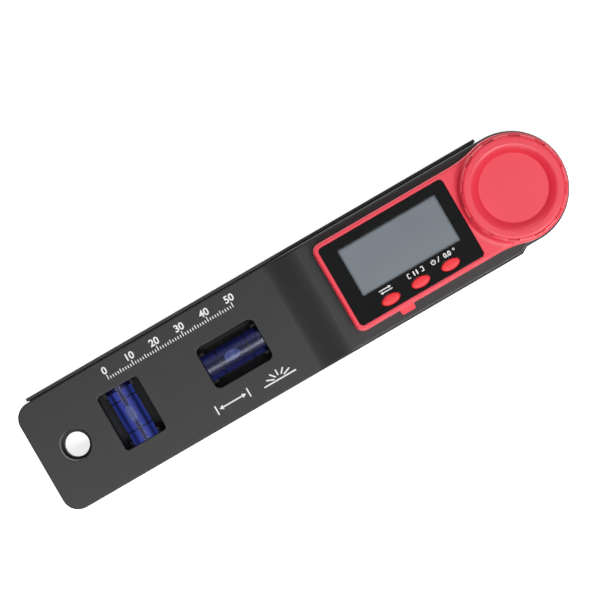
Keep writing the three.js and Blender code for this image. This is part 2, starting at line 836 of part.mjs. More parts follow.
// The forks that hold both levels by their ends.
function saddles() {
  const top = vialAxisZ + saddleGrip;
  const half = vialRadius + saddleWall;
  const bed = vialRadius + faceGap;
  const endSetback = saddleThickness / 2 + seatGap;
  const crossBed = alongY(circle(crossWindowX, vialAxisZ, bed, mediumFaces), -armHalfWidth, armHalfWidth);
  const longBed = alongX(circle(windowShift, vialAxisZ, bed, mediumFaces), tailX, 0);
  const crossEnds = [-1, 1].map((side) => windowShift + side * (crossWindowLength / 2 - endSetback));
  const longEnds = [-1, 1].map((side) => longWindowX + side * (longWindowLength / 2 - endSetback));
  const crossForks = crossEnds.map((y) =>
    block(
      crossWindowX - half, crossWindowX + half, y - saddleThickness / 2, y + saddleThickness / 2,
      basePlateTopZ - overrun, top,
    ),
  );
  const longForks = longEnds.map((x) =>
    block(
      x - saddleThickness / 2, x + saddleThickness / 2, windowShift - half, windowShift + half,
      basePlateTopZ - overrun, top,
    ),
  );
  const below = block(tailX, 0, -armHalfWidth, armHalfWidth, 0, upperBaseZ);
  return [
    ...crossForks.map((fork) => cut(fork, crossBed, below)),
    ...longForks.map((fork) => cut(fork, longBed, below)),
  ];
}

// A screw with its head's bearing face at zero, its shank towards +Z.
function screw(length) {
  const crown = screwHeadHeight - edgeChamfer;
  return geometryOf(turned(
    [
      [0, -screwHeadHeight], [screwHeadRadius - edgeChamfer, -screwHeadHeight], [screwHeadRadius, -crown],
      [screwHeadRadius, 0], [screwShankRadius, 0], [screwShankRadius, length], [0, length],
    ],
    smallFaces,
  ));
}

function screwsAt(name, places, z, length) {
  return places.map((p, i) => {
    const mesh = piece(name + "_" + (i + 1), screw(length), 0x8d8f93, 0.35, 0.9);
    mesh.position.set(p.x, p.y, z);
    return mesh;
  });
}

function pivotBush() {
  return turned(
    [
      [bushBore, upperHubZ], [bushRadius, upperHubZ], [bushRadius, bushFlangeZ],
      [bushFlangeRadius, bushFlangeZ], [bushFlangeRadius, bushFlangeZ + bushFlange],
      [bushBore, bushFlangeZ + bushFlange], [bushBore, upperHubZ],
    ],
    mediumFaces,
  );
}

function clampWasher() {
  return ring(bushBore, bushFlangeRadius, clampWasherZ, clampWasherZ + washerThickness, mediumFaces);
}

// The flat cable from the stator, up through the head and under the main board.
function statorRibbon() {
  const low = statorZ + sensorBoard + faceGap;
  const high = boardBottomZ - faceGap;
  const x = ribbonSlotX();
  const sheet = ribbonThickness;
  const lap = ribbonLap - statorRadius;
  const end = boardEdges().right - ribbonReach;
  const outline = points([
    [x - sheet, low], [lap, low], [lap, low + sheet], [x, low + sheet], [x, high], [end, high],
    [end, high - sheet], [x - sheet, high - sheet],
  ]);
  return alongY(outline, -ribbonWidth / 2, ribbonWidth / 2);
}

// Levels

// A tube bored from one end, lying along X round its own middle.
function vialTube(length) {
  const left = -length / 2;
  const bore = vialRadius - vialWall;
  return turned(
    [
      [0, left], [vialRadius - vialEndChamfer, left], [vialRadius, left + vialEndChamfer],
      [vialRadius, length / 2], [bore, length / 2], [bore, left + vialFloor], [0, left + vialFloor],
    ],
    mediumFaces,
  );
}

function vialPlug(length) {
  const radius = vialRadius - vialWall - liquidGap;
  return turned(
    [[0, length / 2 - vialFloor], [radius, length / 2 - vialFloor], [radius, length / 2], [0, length / 2]],
    mediumFaces,
  );
}

// The liquid, with the bubble as a hollow in its upper side.
function vialLiquid(length) {
  const radius = vialRadius - vialWall - liquidGap;
  const half = length / 2 - vialFloor - liquidGap;
  const bubble = new THREE.SphereGeometry(1, smallFaces, smallFaces / 2);
  bubble.scale(bubbleRadius, bubbleRadius, bubbleLength / 2).translate(-radius, 0, 0);
  return cut(turned([[0, -half], [radius, -half], [radius, half], [0, half]], mediumFaces), solid(bubble));
}

// A level with its parts, turned about the Z axis from lying along X.
function vial(name, length, x, heading) {
  const parts = group(
    piece(name + "_tube", vialTube(length), 0x5a62c8, 0.08, 0),
    piece(name + "_plug", vialPlug(length), 0x20206a, 0.3, 0),
    piece(name + "_liquid", vialLiquid(length), 0x2a2f9a, 0.05, 0),
  );
  parts.rotation.y = Math.PI / 2;
  const placed = group(parts);
  placed.rotation.z = heading;
  placed.position.set(x, windowShift, vialAxisZ);
  return placed;
}

// Red housing and what it holds

function boardEdges() {
  const [left, , right] = housingBossPlaces();
  const clear = housingBossRadius + seatGap;
  return {
    left: left.x + clear,
    right: right.x - clear,
    half: housingHalfWidth - housingWall - boardSideGap,
  };
}

function panelOutline(inset) {
  const width = panelTopY - panelBottomY;
  return roundedBox(
    panelFarX + panelLength / 2, (panelTopY + panelBottomY) / 2, panelLength - 2 * inset, width - 2 * inset,
    panelCorner,
  );
}

// The display's opening in the panel, drawn in by an inset.
function lcdOutline(inset) {
  const left = panelFarX + lcdEndMargin;
  const right = -(panelStart + lcdNearMargin);
  const bottom = panelBottomY + lcdBottomMargin;
  const top = panelTopY - lcdTopMargin;
  return roundedBox(
    (left + right) / 2, (bottom + top) / 2, right - left - 2 * inset, top - bottom - 2 * inset,
    lcdCorner,
  );
}

function displayHousing() {
  const bottom = ledgeZ + faceGap;
  const body = roundedTop(housingOutline, bottom, housingTopZ, housingEdgeRound, housingDraft);
  const ledgeTopZ = panelBottomZ - faceGap;
  const ledgeLowZ = lcdFlangeBottomZ() - faceGap;
  const bosses = housingBossPlaces().map((p) =>
    cylinder(p.x, p.y, housingBossRadius, bottom, ledgeLowZ, mediumFaces),
  );
  const innerRound = housingRadius - housingWall;
  const trayHalf = cellRadius + seatGap + trayWall + runGap;
  return cut(
    join(body, pedestal()),
    cut(prism(housingOutline(housingWall), 0, ledgeLowZ), ...bosses),
    prism(panelOutline(panelLedge), 0, housingTopZ + knobHeight),
    prism(panelOutline(-panelGap), ledgeTopZ, housingTopZ + knobHeight),
    cylinder(0, 0, innerRound - pedestalInset, 0, pedestalTopZ - pedestalSkin, wideFaces),
    cylinder(0, 0, stemRadius + stemGap, 0, pedestalTopZ + overrun, mediumFaces),
    block(trayX - trayHalf, trayX + trayHalf, -armHalfWidth, 0, 0, cellTopZ + runGap),
    ...housingBossPlaces().map((p) =>
      cylinder(p.x, p.y, screwShankRadius + threadGap, 0, bottom + screwGrip + threadGap, smallFaces),
    ),
  );
}

// The round seat under the knob, with a hollow curve round its foot.
function pedestal() {
  const top = housingRadius - pedestalInset;
  const foot = top + pedestalFlare;
  const curve = new THREE.QuadraticBezierCurve(
    new THREE.Vector2(foot, housingTopZ),
    new THREE.Vector2(top, housingTopZ),
    new THREE.Vector2(top, pedestalTopZ - pedestalEdgeRound),
  ).getPoints(2 * roundSteps);
  const shape = turned(
    [
      [0, housingTopZ - housingEdgeRound], [foot, housingTopZ - housingEdgeRound],
      ...curve.map((p) => [p.x, p.y]),
      [top - pedestalEdgeRound, pedestalTopZ], [0, pedestalTopZ],
    ],
    wideFaces,
  );
  const plan = housingOutline(housingDraft + housingEdgeRound);
  return shape.intersect(prism(plan, housingTopZ - 2 * housingEdgeRound, pedestalTopZ + overrun));
}

function lcdFlangeBottomZ() {
  return panelBottomZ - faceGap - lcdFlangeThickness;
}

function displayPanel() {
  const buttonHoles = buttonPlaces().map((x) =>
    prism(
      ellipse(buttonLength + 2 * buttonGap, buttonWidth + 2 * buttonGap, mediumFaces).map((p) =>
        new THREE.Vector2(p.x + x, p.y + buttonRowY),
      ),
      panelBottomZ - overrun, panelTopZ + overrun,
    ),
  );
  return cut(
    prism(panelOutline(0), panelBottomZ, panelTopZ),
    prism(lcdOutline(0), panelBottomZ - overrun, panelTopZ + overrun),
    ...buttonHoles,
  );
}

function lcdGlass() {
  return join(
    prism(lcdOutline(faceGap), lcdFlangeBottomZ(), panelTopZ - lcdTopDrop),
    prism(lcdOutline(-lcdFlange), lcdFlangeBottomZ(), panelBottomZ - faceGap),
  );
}

function zebraStrip(side) {
  const outline = lcdOutline(0);
  const xs = outline.map((p) => p.x);
  const ys = outline.map((p) => p.y);
  const y = side > 0 ? Math.max(...ys) : Math.min(...ys);
  return block(
    Math.min(...xs) + zebraEndInset, Math.max(...xs) - zebraEndInset,
    y - zebraWidth / 2, y + zebraWidth / 2,
    boardTopZ + faceGap, lcdFlangeBottomZ() - faceGap,
  );
}

function mainBoard() {
  const { left, right, half } = boardEdges();
  const outline = roundedBox((left + right) / 2, 0, right - left, 2 * half, panelCorner);
  return prism(outline, boardBottomZ, boardTopZ);
}

// A low drop of resin, round its foot.
function controllerChip() {
  const bottom = boardTopZ + faceGap;
  const height = lcdFlangeBottomZ() - faceGap - bottom;
  const crown = arc(0, 0, 1, 0, 90, cornerSteps).map((p) => [p.x * chipRadius, bottom + p.y * height]);
  const middle = lcdOutline(0).reduce((sum, p) => sum + p.y, 0) / lcdOutline(0).length;
  return turned([[0, bottom], ...crown], smallFaces).translate(panelFarX + panelLength / 2, middle, 0);
}

// Buttons

function buttonPlaces() {
  return [-1, 0, 1].map((i) => middleButtonX + i * buttonPitch);
}

// An oval cap with a rounded crown over a wider flange, with the underside at zero.
function buttonCap() {
  const top = panelTopZ + buttonProud - flangeBottomZ;
  const outlineAt = (inset) => ellipse(buttonLength - 2 * inset, buttonWidth - 2 * inset, mediumFaces);
  return join(
    prism(outlineAt(-buttonFlangeRim), 0, buttonFlange),
    roundedTop(outlineAt, 0, top, buttonRound, 0),
  );
}

function button(name, x) {
  const mesh = piece(name, buttonCap(), red, 0.45, 0);
  mesh.position.set(x, buttonRowY, flangeBottomZ);
  return mesh;
}

function buttonDome(index, x) {
  const crown = arc(0, 0, 1, 0, 90, cornerSteps).map((p) => [p.x * domeRadius, p.y * domeHeight]);
  const mesh = piece("button_dome_" + index, turned([[0, 0], ...crown], smallFaces), 0xc8c8c4, 0.3, 1);
  mesh.position.set(x, buttonRowY, boardTopZ + faceGap);
  return mesh;
}

// Battery

function cellY() {
  return -housingHalfWidth + housingWall + seatGap + cellRadius;
}

function batteryTray() {
  const half = cellRadius + seatGap + trayWall;
  const rimZ = cellTopZ - trayRimDrop;
  const back = housingHalfWidth - housingWall;
  const bed = [
    ...points([[trayX - half, -back], [trayX + half, -back]]),
    ...arc(trayX, cellY(), half, 0, 180, mediumFaces / 2),
  ];
  const front = block(
    trayX - half, trayX + half, -(housingHalfWidth - housingDraft), -back + faceGap, trayBottomZ, cellTopZ,
  );
  return cut(
    join(prism(bed, trayBottomZ, rimZ), front, fingerTab()),
    cylinder(trayX, cellY(), cellRadius + seatGap, trayBottomZ + trayFloor, cellTopZ + overrun, mediumFaces),
  );
}

// The tab that the tray is pulled out by.
function fingerTab() {
  const root = -(housingHalfWidth - housingDraft) + overrun;
  const tip = -(housingHalfWidth + tabReach);
  const half = tabWidth / 2;
  const outline = [
    ...points([[trayX + half, root], [trayX - half, root]]),
    ...arc(trayX - half + tabCorner, tip + tabCorner, tabCorner, 180, 270, roundSteps),
    ...arc(trayX + half - tabCorner, tip + tabCorner, tabCorner, 270, 360, roundSteps),
  ].reverse();
  const middle = (trayBottomZ + cellTopZ) / 2;
  const tab = prism(outline, middle - tabHeight / 2, middle + tabHeight / 2);
  return cut(tab, cylinder(trayX, cellY(), cellRadius, 0, cellTopZ, mediumFaces));
}

function coinCell() {
  return turned(
    [
      [0, cellBottomZ], [cellRadius - cellStep, cellBottomZ], [cellRadius, cellBottomZ + cellStep],
      [cellRadius, cellTopZ - 2 * cellStep], [cellRadius - 2 * cellStep, cellTopZ - cellStep],
      [cellRadius - 3 * cellStep, cellTopZ], [0, cellTopZ],
    ],
    mediumFaces,
  ).translate(trayX, cellY(), 0);
}

// A leaf spring under the board that presses on the middle of the cell.
function minusContact() {
  const high = boardBottomZ - faceGap;
  const low = cellTopZ + faceGap;
  const sheet = contactSheet;
  const from = cellY() + contactLength / 2;
  const to = cellY() - contactLength / 2;
  const outline = points([
    [from, high - sheet], [from, high], [from - contactWidth / 2, high],
    [to + contactWidth / 4, low + sheet], [to, low + 2 * sheet], [to, low + sheet],
    [to + contactWidth / 4, low], [from - contactWidth / 2, high - sheet],
  ]);
  return alongX(outline.reverse(), trayX - contactWidth / 2, trayX + contactWidth / 2);
}

// A leaf that lies under the board and hangs down against the rim of the cell.
function plusContact() {
  const high = boardBottomZ - faceGap;
  const low = cellTopZ - trayRimDrop + seatGap;
  const y = cellY() + cellRadius + faceGap;
  const sheet = contactSheet;
  const foot = y - contactWidth;
  const outline = points([
    [y, low], [y + sheet, low], [y + sheet, high], [foot, high], [foot, high - sheet], [y, high - sheet],
  ]);
  return alongX(outline, trayX - contactWidth / 2, trayX + contactWidth / 2);
}

// Knob

function lockKnob() {
  const dishRadius = knobRadius - knobRim - knobSlope;
  const slopeTop = knobRadius - knobRim;
  const crestInset = (knobRim - knobRimRound) / 2;
  const rimRound = arc(0, 0, 1, 0, 90, cornerSteps).map((p) => [
    knobRadius - knobRimRound + p.x * knobRimRound,
    knobTopZ - knobRimRound + p.y * knobRimRound,
  ]);
  const underZ = dishZ - knobSkin;
  const shape = turned(
    [
      [0, stemZ], [stemRadius, stemZ], [stemRadius, underZ], [knobRadius - knobWall, underZ],
      [knobRadius - knobWall, knobBottomZ], [knobRadius, knobBottomZ],
      ...rimRound,
      [slopeTop + crestInset, knobTopZ], [slopeTop, knobTopZ - edgeChamfer],
      [dishRadius + edgeChamfer, dishZ + edgeChamfer], [dishRadius - edgeChamfer, dishZ], [0, dishZ],
    ],
    wideFaces,
  );
  const boreTopZ = nutTopZ + boltEndRoom;
  return cut(
    shape,
    cylinder(0, 0, hexRadius(nutAcross) + nutGap, stemZ - overrun, nutTopZ + nutGap, hexFaces),
    cylinder(0, 0, boltRadius + threadGap, stemZ, boreTopZ, mediumFaces),
    ...knobNotches(),
  );
}

// Grip notches round the rim, down to the flange.
function knobNotches() {
  return circle(0, 0, 1, notchCount).map((_, i) => {
    const notch = new THREE.BoxGeometry(2 * overrun + notchDepth, notchLength, knobHeight + overrun);
    notch.translate(
      knobRadius - notchDepth + overrun + notchDepth / 2, 0,
      knobBottomZ + knobFlange + (knobHeight + overrun) / 2,
    );
    return solid(notch.rotateZ((2 * Math.PI * i) / notchCount));
  });
}

function knobNut() {
  return cut(
    cylinder(0, 0, hexRadius(nutAcross), stemZ + nutGap, nutTopZ, hexFaces),
    cylinder(0, 0, boltRadius + threadGap, stemZ, nutTopZ + overrun, mediumFaces),
  );
}

// The whole tool

const lowerArm = group(
  piece("lower_arm_shell", lowerArmShell(), black, 0.6, 0),
  piece("pivot_bolt", pivotBolt(), 0x9a9ca0, 0.3, 0.9),
  piece("bolt_cap", boltCap(), black, 0.5, 0),
  piece("thrust_washer", thrustWasher(), 0xe8e6dc, 0.5, 0),
  piece("rotor_disc", sensorRing(rotorRadius, rotorZ, rotorPlaces), 0x1f6b3a, 0.5, 0),
);

const upperArm = group(
  piece("upper_arm_shell", upperArmShell(), 0x4a4a4c, 0.6, 0),
  piece("base_plate", basePlateShell(), black, 0.6, 0),
  ...screwsAt(
    "base_plate_screw", baseScrewPlaces(), upperBaseZ + faceGap + screwHeadHeight,
    baseScrewTopZ() - upperBaseZ - faceGap - screwHeadHeight,
  ),
  piece("pivot_bush", pivotBush(), 0xb8923c, 0.35, 0.9),
  piece("clamp_washer", clampWasher(), 0xe8e6dc, 0.5, 0),
  piece("stator_board", sensorRing(statorRadius, statorZ, statorPlaces), 0x1f6b3a, 0.5, 0),
  piece("stator_ribbon", statorRibbon(), 0xb86a2a, 0.5, 0),
  vial("cross_vial", crossWindowLength - 2 * seatGap, crossWindowX, Math.PI / 2),
  vial("long_vial", longWindowLength - 2 * seatGap, longWindowX, 0),
  piece("display_housing", displayHousing(), red, 0.4, 0),
  ...screwsAt(
    "housing_screw", housingBossPlaces(), headCeilingZ - faceGap, shellSkin + 2 * faceGap + screwGrip,
  ),
  piece("display_panel", displayPanel(), 0x1f2120, 0.3, 0),
  piece("lcd_glass", lcdGlass(), 0x828a91, 0.15, 0),
  piece("zebra_strip_1", zebraStrip(1), 0x303030, 0.8, 0),
  piece("zebra_strip_2", zebraStrip(-1), 0x303030, 0.8, 0),
  piece("main_board", mainBoard(), 0x1f6b3a, 0.5, 0),
  piece("controller_chip", controllerChip(), 0x111111, 0.4, 0),
  ...buttonPlaces().map((x, i) => buttonDome(i + 1, x)),
  piece("battery_contact_minus", minusContact(), 0xc8c8c4, 0.3, 1),
  piece("battery_contact_plus", plusContact(), 0xc8c8c4, 0.3, 1),
);

const knob = group(
  piece("lock_knob", lockKnob(), red, 0.4, 0),
  piece("knob_nut", knobNut(), 0xb8923c, 0.35, 0.9),
);

const battery = group(
  piece("battery_tray", batteryTray(), red, 0.45, 0),
  piece("coin_cell", coinCell(), 0xc0c2c6, 0.25, 1),
);

const [modeX, holdX, powerX] = buttonPlaces();
const buttons = group(
  button("mode_button", modeX),
  button("hold_button", holdX),
  button("power_button", powerX),
);

export default group(lowerArm, upperArm, knob, battery, buttons);
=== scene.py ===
"""Digital angle finder with two folding arms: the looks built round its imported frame.

Sizes here are in millimetres and become metres in the meshes. The origin lies on the pivot
axis, on the underside of the lower arm. The arms run from the pivot towards -X. The lower
arm's straightedge is on the +Y side and the upper arm's on the -Y side.
"""
import logging
import math
from dataclasses import dataclass
from enum import Enum
from typing import Any, Callable, Iterable, Optional, Sequence

import bmesh
import bpy
from mathutils import Matrix, Vector


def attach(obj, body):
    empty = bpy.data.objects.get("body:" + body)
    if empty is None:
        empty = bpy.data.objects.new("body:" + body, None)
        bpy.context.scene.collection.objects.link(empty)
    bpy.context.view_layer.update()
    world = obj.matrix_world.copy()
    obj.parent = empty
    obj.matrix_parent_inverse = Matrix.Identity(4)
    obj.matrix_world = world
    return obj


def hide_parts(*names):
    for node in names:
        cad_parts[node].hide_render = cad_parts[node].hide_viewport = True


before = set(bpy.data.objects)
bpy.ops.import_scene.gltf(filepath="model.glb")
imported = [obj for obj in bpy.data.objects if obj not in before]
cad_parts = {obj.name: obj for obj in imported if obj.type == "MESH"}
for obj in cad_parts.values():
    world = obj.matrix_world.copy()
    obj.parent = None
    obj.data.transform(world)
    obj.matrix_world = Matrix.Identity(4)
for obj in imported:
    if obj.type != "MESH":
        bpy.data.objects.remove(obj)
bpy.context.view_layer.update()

Point = tuple[float, float]
Place = tuple[float, float, float]
Outline = list[Point]
Ring = list[Place]
Inputs = dict[Any, Any]

MM = 0.001
WELD = 1e-7
OVERRUN = 1.0  # how far a cutter runs past a face that it breaks through
FACE_GAP = 0.1  # between faces that meet
FIT_GAP = 0.15  # round a screw, a nut or a button
SEAT_GAP = 0.3  # round a part in its seat
INK = 0.03  # top of printed ink over its face
INK_FOOT = 0.004  # its underside, just clear of the face
WIDE_FACES = 144
MEDIUM_FACES = 64
SMALL_FACES = 32
HEX_FACES = 6
CORNER_STEPS = 10
CURVE_STEPS = 20
ROUND_STEPS = 6
RAMP_STEPS = 28
CREASE_DEG = 32.0
CENTRE: Point = (0.0, 0.0)

log = logging.getLogger("angle_finder")


class Body(Enum):
    """The moving bodies of the frame that pieces ride on."""

    LOWER_ARM = "lower_arm"
    UPPER_ARM = "upper_arm"
    KNOB = "lock_knob"
    TRAY = "battery_tray"
    MODE = "mode_button"
    HOLD = "hold_button"
    POWER = "power_button"


class Combine(Enum):
    """The ways in which two solids combine."""

    JOIN = "UNION"
    CUT = "DIFFERENCE"
    COMMON = "INTERSECT"


class Across(Enum):
    """The direction in which a pattern changes."""

    X = "X"
    Y = "Y"


# Outlines


def arc(x: float, y: float, radius: float, start: float, end: float, steps: int = CORNER_STEPS) -> Outline:
    """An arc of a circle as points.

    Args:
        x: Centre along the first axis.
        y: Centre along the second axis.
        radius: Radius of the circle.
        start: First angle in degrees.
        end: Last angle in degrees; the arc may run either way round.
        steps: Number of straight steps.

    Returns:
        The points, both ends included.
    """
    turns = [math.radians(start + (end - start) * i / steps) for i in range(steps + 1)]
    return [(x + radius * math.cos(t), y + radius * math.sin(t)) for t in turns]


def circle(x: float, y: float, radius: float, faces: int = MEDIUM_FACES) -> Outline:
    """A whole circle as an outline with that many sides."""
    return arc(x, y, radius, 0, 360, faces)[:-1]


def oval(x: float, y: float, length: float, width: float) -> Outline:
    """An ellipse of a length and width as an outline."""
    return [(x + u * length / 2, y + v * width / 2) for u, v in circle(0, 0, 1)]


def rounded_box(x: float, y: float, length: float, width: float, corner: float) -> Outline:
    """A rectangle with rounded corners.

    Args:
        x: Centre along the first axis.
        y: Centre along the second axis.
        length: Size along the first axis.
        width: Size along the second axis.
        corner: Radius of the corners.

    Returns:
        The outline, the usual way round.
    """
    right, left = x + length / 2 - corner, x - length / 2 + corner
    top, bottom = y + width / 2 - corner, y - width / 2 + corner
    return [
        *arc(right, bottom, corner, -90, 0), *arc(right, top, corner, 0, 90),
        *arc(left, top, corner, 90, 180), *arc(left, bottom, corner, 180, 270),
    ]


def tail_end(x: float, top: float, bottom: float, corner: float) -> Outline:
    """Both rounded corners of a left end, with the centres of their arcs at x."""
    return arc(x, top - corner, corner, 90, 180) + arc(x, bottom + corner, corner, 180, 270)


def turned_places(radius: float, count: int, start: float) -> Outline:
    """Places evenly round the pivot, from an angle in degrees."""
    return arc(0, 0, radius, start, start + 360, count)[:-1]


def quarter(steps: int = ROUND_STEPS) -> list[Point]:
    """Shares of inset and drop along a rounded edge, from the side up to the top face."""
    turns = [math.pi / 2 * i / steps for i in range(steps + 1)]
    return [(1 - math.cos(t), 1 - math.sin(t)) for t in turns]


def rounded_rim(side: float, top: float, edge: float, steps: int = ROUND_STEPS) -> Outline:
    """A rounded edge as points, from a side up to the top face."""
    return [(side - edge * inset, top - edge * drop) for inset, drop in quarter(steps)]


def rounded_foot(side: float, bottom: float, edge: float) -> Outline:
    """A rounded edge as points, from the bottom face up to a side."""
    return [(side - edge * inset, bottom + edge * drop) for inset, drop in reversed(quarter())]


@dataclass(frozen=True)
class Opening:
    """A rectangular opening with rounded corners."""

    middle: Point
    size: Point
    corner: float
    tight: bool = False

    def outline(self, grow: float) -> Outline:
        """Its outline, grown outwards; a tight one keeps its corners when it is drawn in.

        Args:
            grow: How far it grows; below zero draws it in.

        Returns:
            The outline.
        """
        length, width = self.size
        corner = self.corner + (max(grow, 0) if self.tight else grow)
        return rounded_box(*self.middle, length + 2 * grow, width + 2 * grow, corner)


# Solids


class Solid:
    """A closed body that can be joined to others and cut by them."""

    def __init__(self, mesh: bpy.types.Mesh) -> None:
        """Keeps the mesh, which is in metres."""
        self.mesh = mesh

    @classmethod
    def of_faces(cls, places: Sequence[Place], faces: Sequence[Sequence[int]]) -> "Solid":
        """A solid with its normals out and no doubled corners.

        Args:
            places: The corners in millimetres.
            faces: The faces, as numbers of the corners.

        Returns:
            The solid.
        """
        mesh = bpy.data.meshes.new("solid")
        mesh.from_pydata([tuple(c * MM for c in place) for place in places], [], faces)
        build = bmesh.new()
        build.from_mesh(mesh)
        bmesh.ops.remove_doubles(build, verts=build.verts, dist=WELD)
        bmesh.ops.recalc_face_normals(build, faces=build.faces)
        build.to_mesh(mesh)
        build.free()
        return cls(mesh)

    @classmethod
    def skinned(cls, rings: Sequence[Ring], cap: Optional[Sequence[Sequence[int]]] = None) -> "Solid":
        """A solid skinned over rings that have the same number of places.

        Args:
            rings: The rings, from the first end to the last.
            cap: Faces over the last ring, as numbers of its places; one face if left out.

        Returns:
            The closed solid.
        """
        count = len(rings[0])
        last = (len(rings) - 1) * count
        faces = [
            (low + i, low + (i + 1) % count, low + count + (i + 1) % count, low + count + i)
            for low in range(0, last, count)
            for i in range(count)
        ]
        faces.append(tuple(reversed(range(count))))
        faces.extend(tuple(last + i for i in part) for part in (cap or [range(count)]))
        return cls.of_faces([place for ring in rings for place in ring], faces)

    @classmethod
    def raised(cls, levels: Sequence[tuple[Outline, float]]) -> "Solid":
        """A solid over outlines in X and Y, each with its height."""
        return cls.skinned([[(x, y, z) for x, y in outline] for outline, z in levels])

    @classmethod
    def prism(cls, outline: Outline, bottom: float, top: float) -> "Solid":
        """An outline in X and Y raised from one height to another."""
        return cls.raised([(outline, bottom), (outline, top)])

    @classmethod
    def along_y(cls, outline: Outline, start: float, end: float) -> "Solid":
        """An outline in X and Z run along Y."""
        return cls.skinned([[(x, y, z) for x, z in outline] for y in (start, end)])

    @classmethod
    def along_x(cls, outline: Outline, start: float, end: float) -> "Solid":
        """An outline in Y and Z run along X."""
        return cls.skinned([[(x, y, z) for y, z in outline] for x in (start, end)])

    @classmethod
    def block(cls, low: Place, high: Place) -> "Solid":
        """A box from its lowest to its highest corner."""
        (x0, y0, z0), (x1, y1, z1) = low, high
        return cls.prism([(x0, y0), (x1, y0), (x1, y1), (x0, y1)], z0, z1)

    @classmethod
    def rod(
        cls, place: Point, radius: float, bottom: float, top: float, faces: int = MEDIUM_FACES
    ) -> "Solid":
        """An upright cylinder."""
        return cls.prism(circle(*place, radius, faces), bottom, top)

    @classmethod
    def rods(cls, places: Outline, radius: float, bottom: float, top: float) -> list["Solid"]:
        """Slim upright cylinders at places."""
        return [cls.rod(place, radius, bottom, top, SMALL_FACES) for place in places]

    @classmethod
    def turned(cls, profile: Sequence[Point], faces: int = MEDIUM_FACES) -> "Solid":
        """A profile of radius and height turned round Z.

        Args:
            profile: From the axis out, up and back to the axis, or a closed loop.
            faces: Number of faces round the axis.

        Returns:
            The closed solid.
        """
        looped = profile[0] == profile[-1]
        places: Ring = []
        starts: list[tuple[int, int]] = []
        for radius, height in profile[:-1] if looped else profile:
            count = 1 if radius < WELD else faces
            starts.append((len(places), count))
            places.extend((x, y, height) for x, y in circle(0, 0, radius, count))
        made = []
        for (low, low_count), (high, high_count) in zip(starts, starts[1:] + starts[:looped]):
            for i in range(faces):
                j = (i + 1) % faces
                corners = (
                    low + i % low_count, low + j % low_count, high + j % high_count, high + i % high_count,
                )
                kept = list(dict.fromkeys(corners))
                if len(kept) > 2:
                    made.append(kept)
        return cls.of_faces(places, made)

    def _with(self, how: Combine, others: Iterable["Solid"]) -> "Solid":
        """This solid combined with others in turn.

        Args:
            how: The way in which they combine.
            others: The other solids.

        Returns:
            The result, as a new solid.
        """
        made = linked("work", self.mesh)
        tools = []
        for other in others:
            tool = linked("tool", other.mesh)
            tools.append(tool)
            step = made.modifiers.new("combine", "BOOLEAN")
            step.operation = how.value
            step.solver = "MANIFOLD"
            step.object = tool
        result = evaluated_mesh(made)
        for spent in [made, *tools]:
            bpy.data.objects.remove(spent)
        return Solid(result)

    def joined(self, *others: "Solid") -> "Solid":
        """This solid joined with others."""
        return self._with(Combine.JOIN, others)

    def cut(self, *tools: "Solid") -> "Solid":
        """This solid with others cut away."""
        return self._with(Combine.CUT, tools)

    def common(self, *others: "Solid") -> "Solid":
        """What this solid has in common with others."""
        return self._with(Combine.COMMON, others)

    def placed(self, x: float, y: float, z: float = 0.0, turn: Optional[Matrix] = None) -> "Solid":
        """A copy turned about the origin and then moved.

        Args:
            x: Shift along X.
            y: Shift along Y.
            z: Shift along Z.
            turn: Turn before the shift, if any.

        Returns:
            The placed copy.
        """
        mesh = self.mesh.copy()
        mesh.transform(Matrix.Translation(Vector((x, y, z)) * MM) @ (turn or Matrix()))
        return Solid(mesh)


def linked(name: str, data: Any) -> bpy.types.Object:
    """Adds an object to the scene.

    Args:
        name: Name of the object.
        data: What it carries.

    Returns:
        The new object.
    """
    made = bpy.data.objects.new(name, data)
    bpy.context.scene.collection.objects.link(made)
    return made


def evaluated_mesh(made: bpy.types.Object) -> bpy.types.Mesh:
    """The mesh of an object with its modifiers applied."""
    graph = bpy.context.evaluated_depsgraph_get()
    return bpy.data.meshes.new_from_object(made.evaluated_get(graph), depsgraph=graph)


def gathered(solids: Sequence[Solid]) -> Solid:
    """Separate solids as one mesh, without joining their faces.

    Args:
        solids: The solids.

    Returns:
        Their meshes in one.
    """
    build = bmesh.new()
    for solid in solids:
        build.from_mesh(solid.mesh)
    mesh = bpy.data.meshes.new("gathered")
    build.to_mesh(mesh)
    build.free()
    return Solid(mesh)


def eased(
    outline_at: Callable[[float], Outline], bottom: float, top: float, edge: float, draft: float = 0.0
) -> list[tuple[Outline, float]]:
    """Levels of a body with a rounded top edge.

    Args:
        outline_at: Gives the outline at an inset.
        bottom: Height of the foot.
        top: Height of the top face.
        edge: Radius of the top edge.
        draft: Inset reached by the time the edge begins.

    Returns:
        Outlines with their heights.
    """
    rim = [(outline_at(draft + edge * inset), top - edge * drop) for inset, drop in quarter()]
    return [(outline_at(0.0), bottom), *rim]


def mouth(outline_at: Callable[[float], Outline], bottom: float, top: float, edge: float) -> Solid:
    """A cutter that leaves a rounded edge where it breaks through a top face.

    Args:
        outline_at: Gives the outline at a growth.
        bottom: Where the cut starts.
        top: Height of the face it breaks through.
        edge: Radius of the rounded edge.

    Returns:
        The cutter.
    """
    return Solid.raised([*eased(outline_at, bottom, top, edge), (outline_at(edge), top + OVERRUN)])


# Node trees


def connect(node: bpy.types.Node, inputs: Inputs) -> None:
    """Sets a node's inputs.

    Args:
        node: The node.
        inputs: Values, or sockets to link from, by the input's name or number.
    """
    for key, value in inputs.items():
        if isinstance(value, bpy.types.NodeSocket):
            node.id_data.links.new(value, node.inputs[key])
        else:
            node.inputs[key].default_value = value


